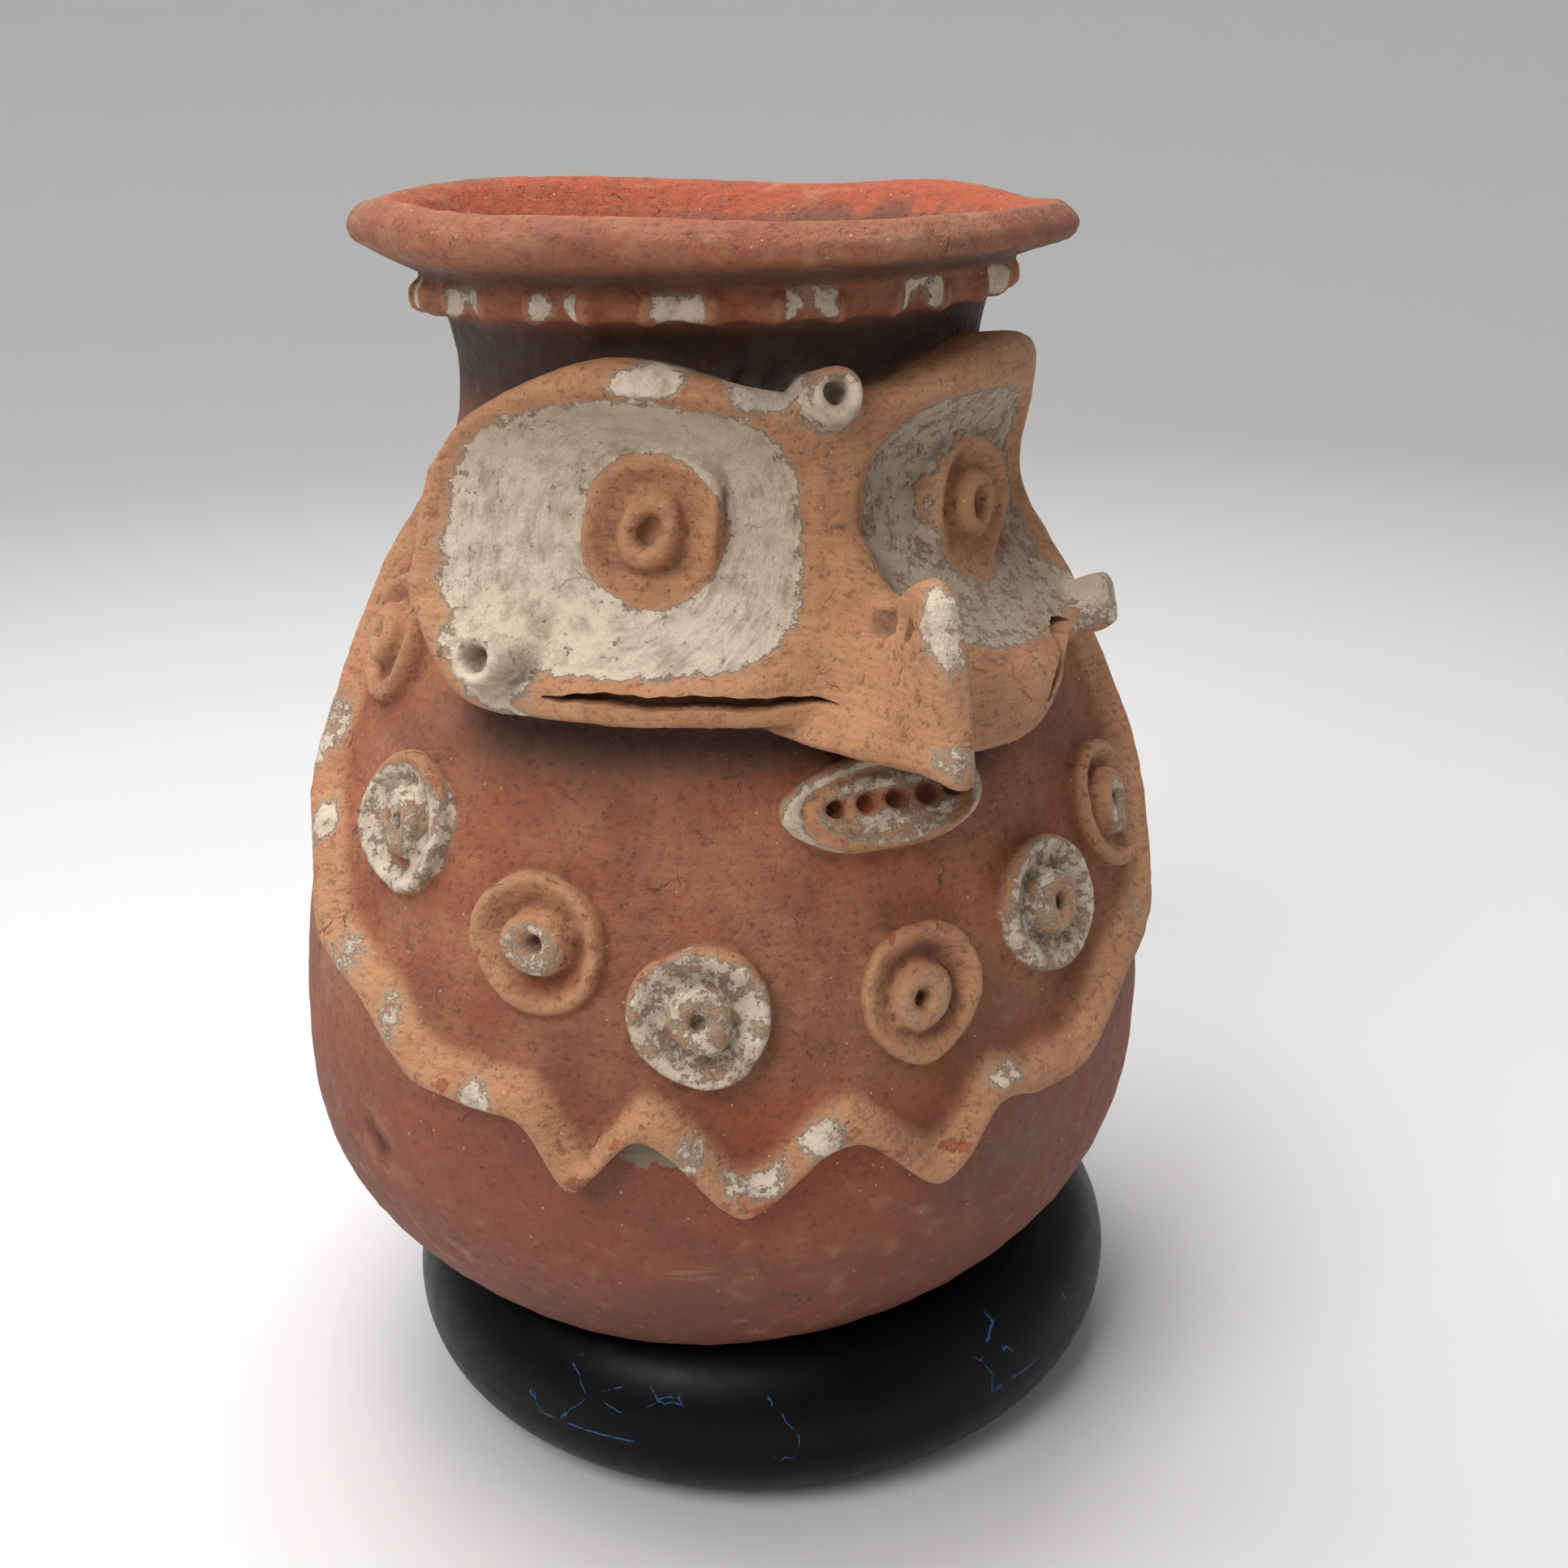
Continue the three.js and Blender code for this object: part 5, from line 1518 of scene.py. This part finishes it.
def black_coat():
    """A black coat on a soft ring: satin, scuffed, and cracked down to blue."""
    settings = bpy.context.scene.ring_settings
    finish = Finish("Black coated rubber with blue cracks")
    add_node = finish.node

    shake = add_node("ShaderNodeTexNoise", {}, {
        "Vector": finish.spot, "Scale": 1 / (20 * MM), "Detail": 4,
    }, output="Color")
    shaken = add_node("ShaderNodeVectorMath", {"operation": "MULTIPLY_ADD"}, {
        0: shake, 1: (0.02,) * 3, 2: finish.spot,
    })
    web = add_node("ShaderNodeTexVoronoi", {"feature": "DISTANCE_TO_EDGE"}, {
        "Vector": shaken, "Scale": 1 / (27 * MM),
    }, "Distance")
    cracked = add_node("ShaderNodeAttribute", {"attribute_name": "cracked"}, output="Fac")
    seam_cracked = add_node("ShaderNodeAttribute", {"attribute_name": "seam_cracked"}, output="Fac")
    line = add_node("ShaderNodeMath", {"operation": "MULTIPLY"}, {
        0: add_node("ShaderNodeMapRange", {}, {
            "Value": web, "From Min": 0.006, "From Max": 0.015, "To Min": 1, "To Max": 0,
        }),
        1: add_node("ShaderNodeMapRange", {}, {"Value": cracked, "From Min": 0.4, "From Max": 0.6}),
    })
    line = add_node("ShaderNodeMath", {"operation": "MULTIPLY"}, {
        0: line,
        1: add_node("ShaderNodeMapRange", {}, {
            "Value": add_node("ShaderNodeTexNoise", {}, {
                "Vector": finish.spot, "Scale": 1 / (7 * MM), "Detail": 4.0,
            }),
            "From Min": 0.44, "From Max": 0.52,
        }),
    })
    height = add_node("ShaderNodeSeparateXYZ", {}, {"Vector": finish.spot}, output="Z")
    drift = add_node("ShaderNodeMath", {"operation": "ADD"}, {
        0: height,
        1: add_node("ShaderNodeMapRange", {}, {
            "Value": add_node("ShaderNodeTexNoise", {}, {
                "Vector": finish.spot, "Scale": 1 / (25 * MM), "Detail": 4.0,
            }),
            "From Min": 0, "From Max": 1, "To Min": -1.2 * MM, "To Max": 1.2 * MM,
        }),
    })
    seam = add_node("ShaderNodeMapRange", {}, {
        "Value": add_node("ShaderNodeMath", {"operation": "ABSOLUTE"}, {
            0: add_node("ShaderNodeMath", {"operation": "SUBTRACT"}, {
                0: drift, 1: SEAM_HEIGHT + 1.5 * MM,
            }),
            1: 0.0,
        }),
        "From Min": 0.25 * MM, "From Max": 0.55 * MM, "To Min": 1, "To Max": 0,
    })
    seam = add_node("ShaderNodeMath", {"operation": "MULTIPLY"}, {
        0: seam,
        1: add_node("ShaderNodeMapRange", {}, {
            "Value": add_node("ShaderNodeMath", {"operation": "MULTIPLY"}, {
                0: seam_cracked,
                1: add_node("ShaderNodeTexNoise", {}, {
                    "Vector": finish.spot, "Scale": 1 / (9 * MM), "Detail": 4.0,
                }),
            }),
            "From Min": 0.4, "From Max": 0.5,
        }),
    })
    blue = add_node("ShaderNodeMath", {"operation": "MAXIMUM"}, {0: line, 1: seam})
    scuffed = add_node("ShaderNodeMix", {"data_type": "RGBA"}, {
        "Factor": add_node("ShaderNodeMapRange", {}, {
            "Value": add_node("ShaderNodeTexNoise", {}, {
                "Vector": finish.spot, "Scale": 1 / (30 * MM), "Detail": 8,
            }),
            "From Min": 0.45, "From Max": 0.8, "To Min": 0, "To Max": 0.5,
        }),
        6: settings.skin[:], 7: settings.scuff[:],
    }, output=2)
    surface = add_node("ShaderNodeMix", {"data_type": "RGBA"}, {
        "Factor": add_node("ShaderNodeMath", {"operation": "MULTIPLY"}, {0: blue, 1: 0.85}), 6: scuffed,
        7: settings.scratch[:],
    }, output=2)
    finish.join(surface, "Base Color")
    finish.join(
        add_node("ShaderNodeMapRange", {}, {
            "Value": add_node("ShaderNodeTexNoise", {}, {
                "Vector": finish.spot, "Scale": 1 / (12 * MM), "Detail": 6,
            }),
            "From Min": 0.3, "From Max": 0.7, "To Min": 0.34, "To Max": 0.46,
        }),
        "Roughness",
    )
    finish.shader.inputs["Specular IOR Level"].default_value = 0.13
    relief = add_node("ShaderNodeMath", {"operation": "SUBTRACT"}, {
        0: add_node("ShaderNodeMath", {"operation": "MULTIPLY"}, {
            0: add_node("ShaderNodeTexNoise", {}, {
                "Vector": finish.spot, "Scale": 1 / (1.5 * MM), "Detail": 4.0,
            }),
            1: 0.15,
        }),
        1: blue,
    })
    bump = add_node("ShaderNodeBump", {}, {"Strength": 0.4, "Distance": 0.3 * MM, "Height": relief})
    finish.join(bump, "Normal")
    return finish.material


def sweep_floor():
    """The floor, which rises all round in one seamless curve far behind the object."""
    floor_radius, corner, height = 2.6, 1.6, 4.2
    profile = [(0.4, 0.0), (floor_radius, 0.0)]
    for i in range(1, 13):
        turn = math.pi / 2 * i / 12
        profile.append((floor_radius + corner * math.sin(turn), corner * (1 - math.cos(turn))))
    profile.append((floor_radius + corner, height))
    deselect()
    bpy.ops.mesh.primitive_circle_add(vertices=96, radius=profile[0][0], fill_type="NGON")
    floor = bpy.context.object
    floor.name = "Floor"
    bpy.ops.object.mode_set(mode="EDIT")
    bpy.ops.mesh.select_all(action="SELECT")
    bpy.ops.mesh.select_mode(type="EDGE")
    bpy.ops.mesh.region_to_loop()
    radius, z = profile[0]
    for next_radius, next_z in profile[1:]:
        bpy.ops.mesh.extrude_edges_move(TRANSFORM_OT_translate={"value": (0, 0, next_z - z)})
        bpy.ops.transform.resize(value=(next_radius / radius, next_radius / radius, 1))
        radius, z = next_radius, next_z
    bpy.ops.mesh.select_all(action="SELECT")
    bpy.ops.mesh.normals_make_consistent(inside=True)
    bpy.ops.object.mode_set(mode="OBJECT")
    bpy.ops.object.shade_smooth_by_angle(angle=math.radians(40))
    material, tree, shader = new_material("Matt white seamless paper")
    shader.inputs["Base Color"].default_value = bpy.context.scene.stage_settings.floor
    shader.inputs["Roughness"].default_value = 0.95
    floor.data.materials.append(material)


def add_light(name, place_at, target, size, power):
    """A square soft light that faces a point."""
    deselect()
    bpy.ops.object.light_add(type="AREA", location=place_at)
    light = bpy.context.object
    light.name = name
    light.data.size = size
    light.data.energy = power
    light.rotation_euler = (Vector(target) - Vector(place_at)).to_track_quat("-Z", "Y").to_euler()


class OBJECT_OT_jar_stage(bpy.types.Operator):
    """Adds the pale floor, the soft studio light and the camera"""

    bl_idname = "object.jar_stage"
    bl_label = "Stage"

    def execute(self, context):
        stage = context.scene.stage_settings
        sweep_floor()
        add_light("Key", (-1.3, -0.9, 1.9), (0, 0, 0.3), 1.1, stage.key_power)
        add_light("Top", (-0.2, 0.5, 2.6), (0, 0.3, 0), 1.8, stage.top_power)
        add_light("Fill", (1.6, -1.4, 1.2), (0, 0, 0.3), 1.6, stage.fill_power)
        world = context.scene.world or bpy.data.worlds.new("World")
        context.scene.world = world
        world.use_nodes = True
        background = world.node_tree.nodes["Background"]
        background.inputs["Color"].default_value = linear("#d6d6d8")
        background.inputs["Strength"].default_value = 0.33
        aim_camera(stage)
        context.scene.view_settings.view_transform = "Standard"
        return {"FINISHED"}


def aim_camera(stage):
    """Stands the camera where the photograph was taken from."""
    heading = Vector((0.3665, 0.9304, 0)).normalized()
    pitch = math.radians(21.04)
    roll = math.radians(-2)
    forward = heading * math.cos(pitch) + Vector((0, 0, -math.sin(pitch)))
    level_right = Vector((heading.y, -heading.x, 0))
    level_up = level_right.cross(forward)
    right = level_right * math.cos(roll) + level_up * math.sin(roll)
    up = level_up * math.cos(roll) - level_right * math.sin(roll)
    deselect()
    bpy.ops.object.camera_add(location=stage.camera_place)
    camera = bpy.context.object
    turn = Matrix((right, up, -forward)).transposed()
    camera.matrix_world = Matrix.Translation(Vector(stage.camera_place)) @ turn.to_4x4()
    camera.data.lens = stage.lens
    camera.data.sensor_width = 36
    bpy.context.scene.camera = camera


class VIEW3D_PT_sago_jar(bpy.types.Panel):
    """Lists the sizes, colours and pieces of the jar"""

    bl_label = "Sago jar"
    bl_space_type = "VIEW_3D"
    bl_region_type = "UI"
    bl_category = "Sago jar"

    def draw(self, context):
        for group in ("jar_sizes", "clay_colours", "ring_settings", "stage_settings"):
            settings = getattr(context.scene, group)
            box = self.layout.box()
            for name in settings.__annotations__:
                box.prop(settings, name)
        for operator in PIECES:
            self.layout.operator(operator.bl_idname)


PIECES = (OBJECT_OT_clay_jar, OBJECT_OT_support_ring, OBJECT_OT_jar_stage)
GROUPS = {
    "jar_sizes": JarSizes,
    "clay_colours": ClayColours,
    "ring_settings": RingSettings,
    "stage_settings": StageSettings,
}


def register():
    for group in GROUPS.values():
        bpy.utils.register_class(group)
    for name, group in GROUPS.items():
        setattr(bpy.types.Scene, name, bpy.props.PointerProperty(type=group))
    for cls in (*PIECES, VIEW3D_PT_sago_jar):
        bpy.utils.register_class(cls)


def unregister():
    for cls in (VIEW3D_PT_sago_jar, *reversed(PIECES)):
        bpy.utils.unregister_class(cls)
    for name, group in GROUPS.items():
        delattr(bpy.types.Scene, name)
        bpy.utils.unregister_class(group)


def main():
    """Models every piece in turn."""
    register()
    bpy.ops.object.clay_jar()
    bpy.ops.object.support_ring()
    bpy.ops.object.jar_stage()


if __name__ == "__main__":
    main()
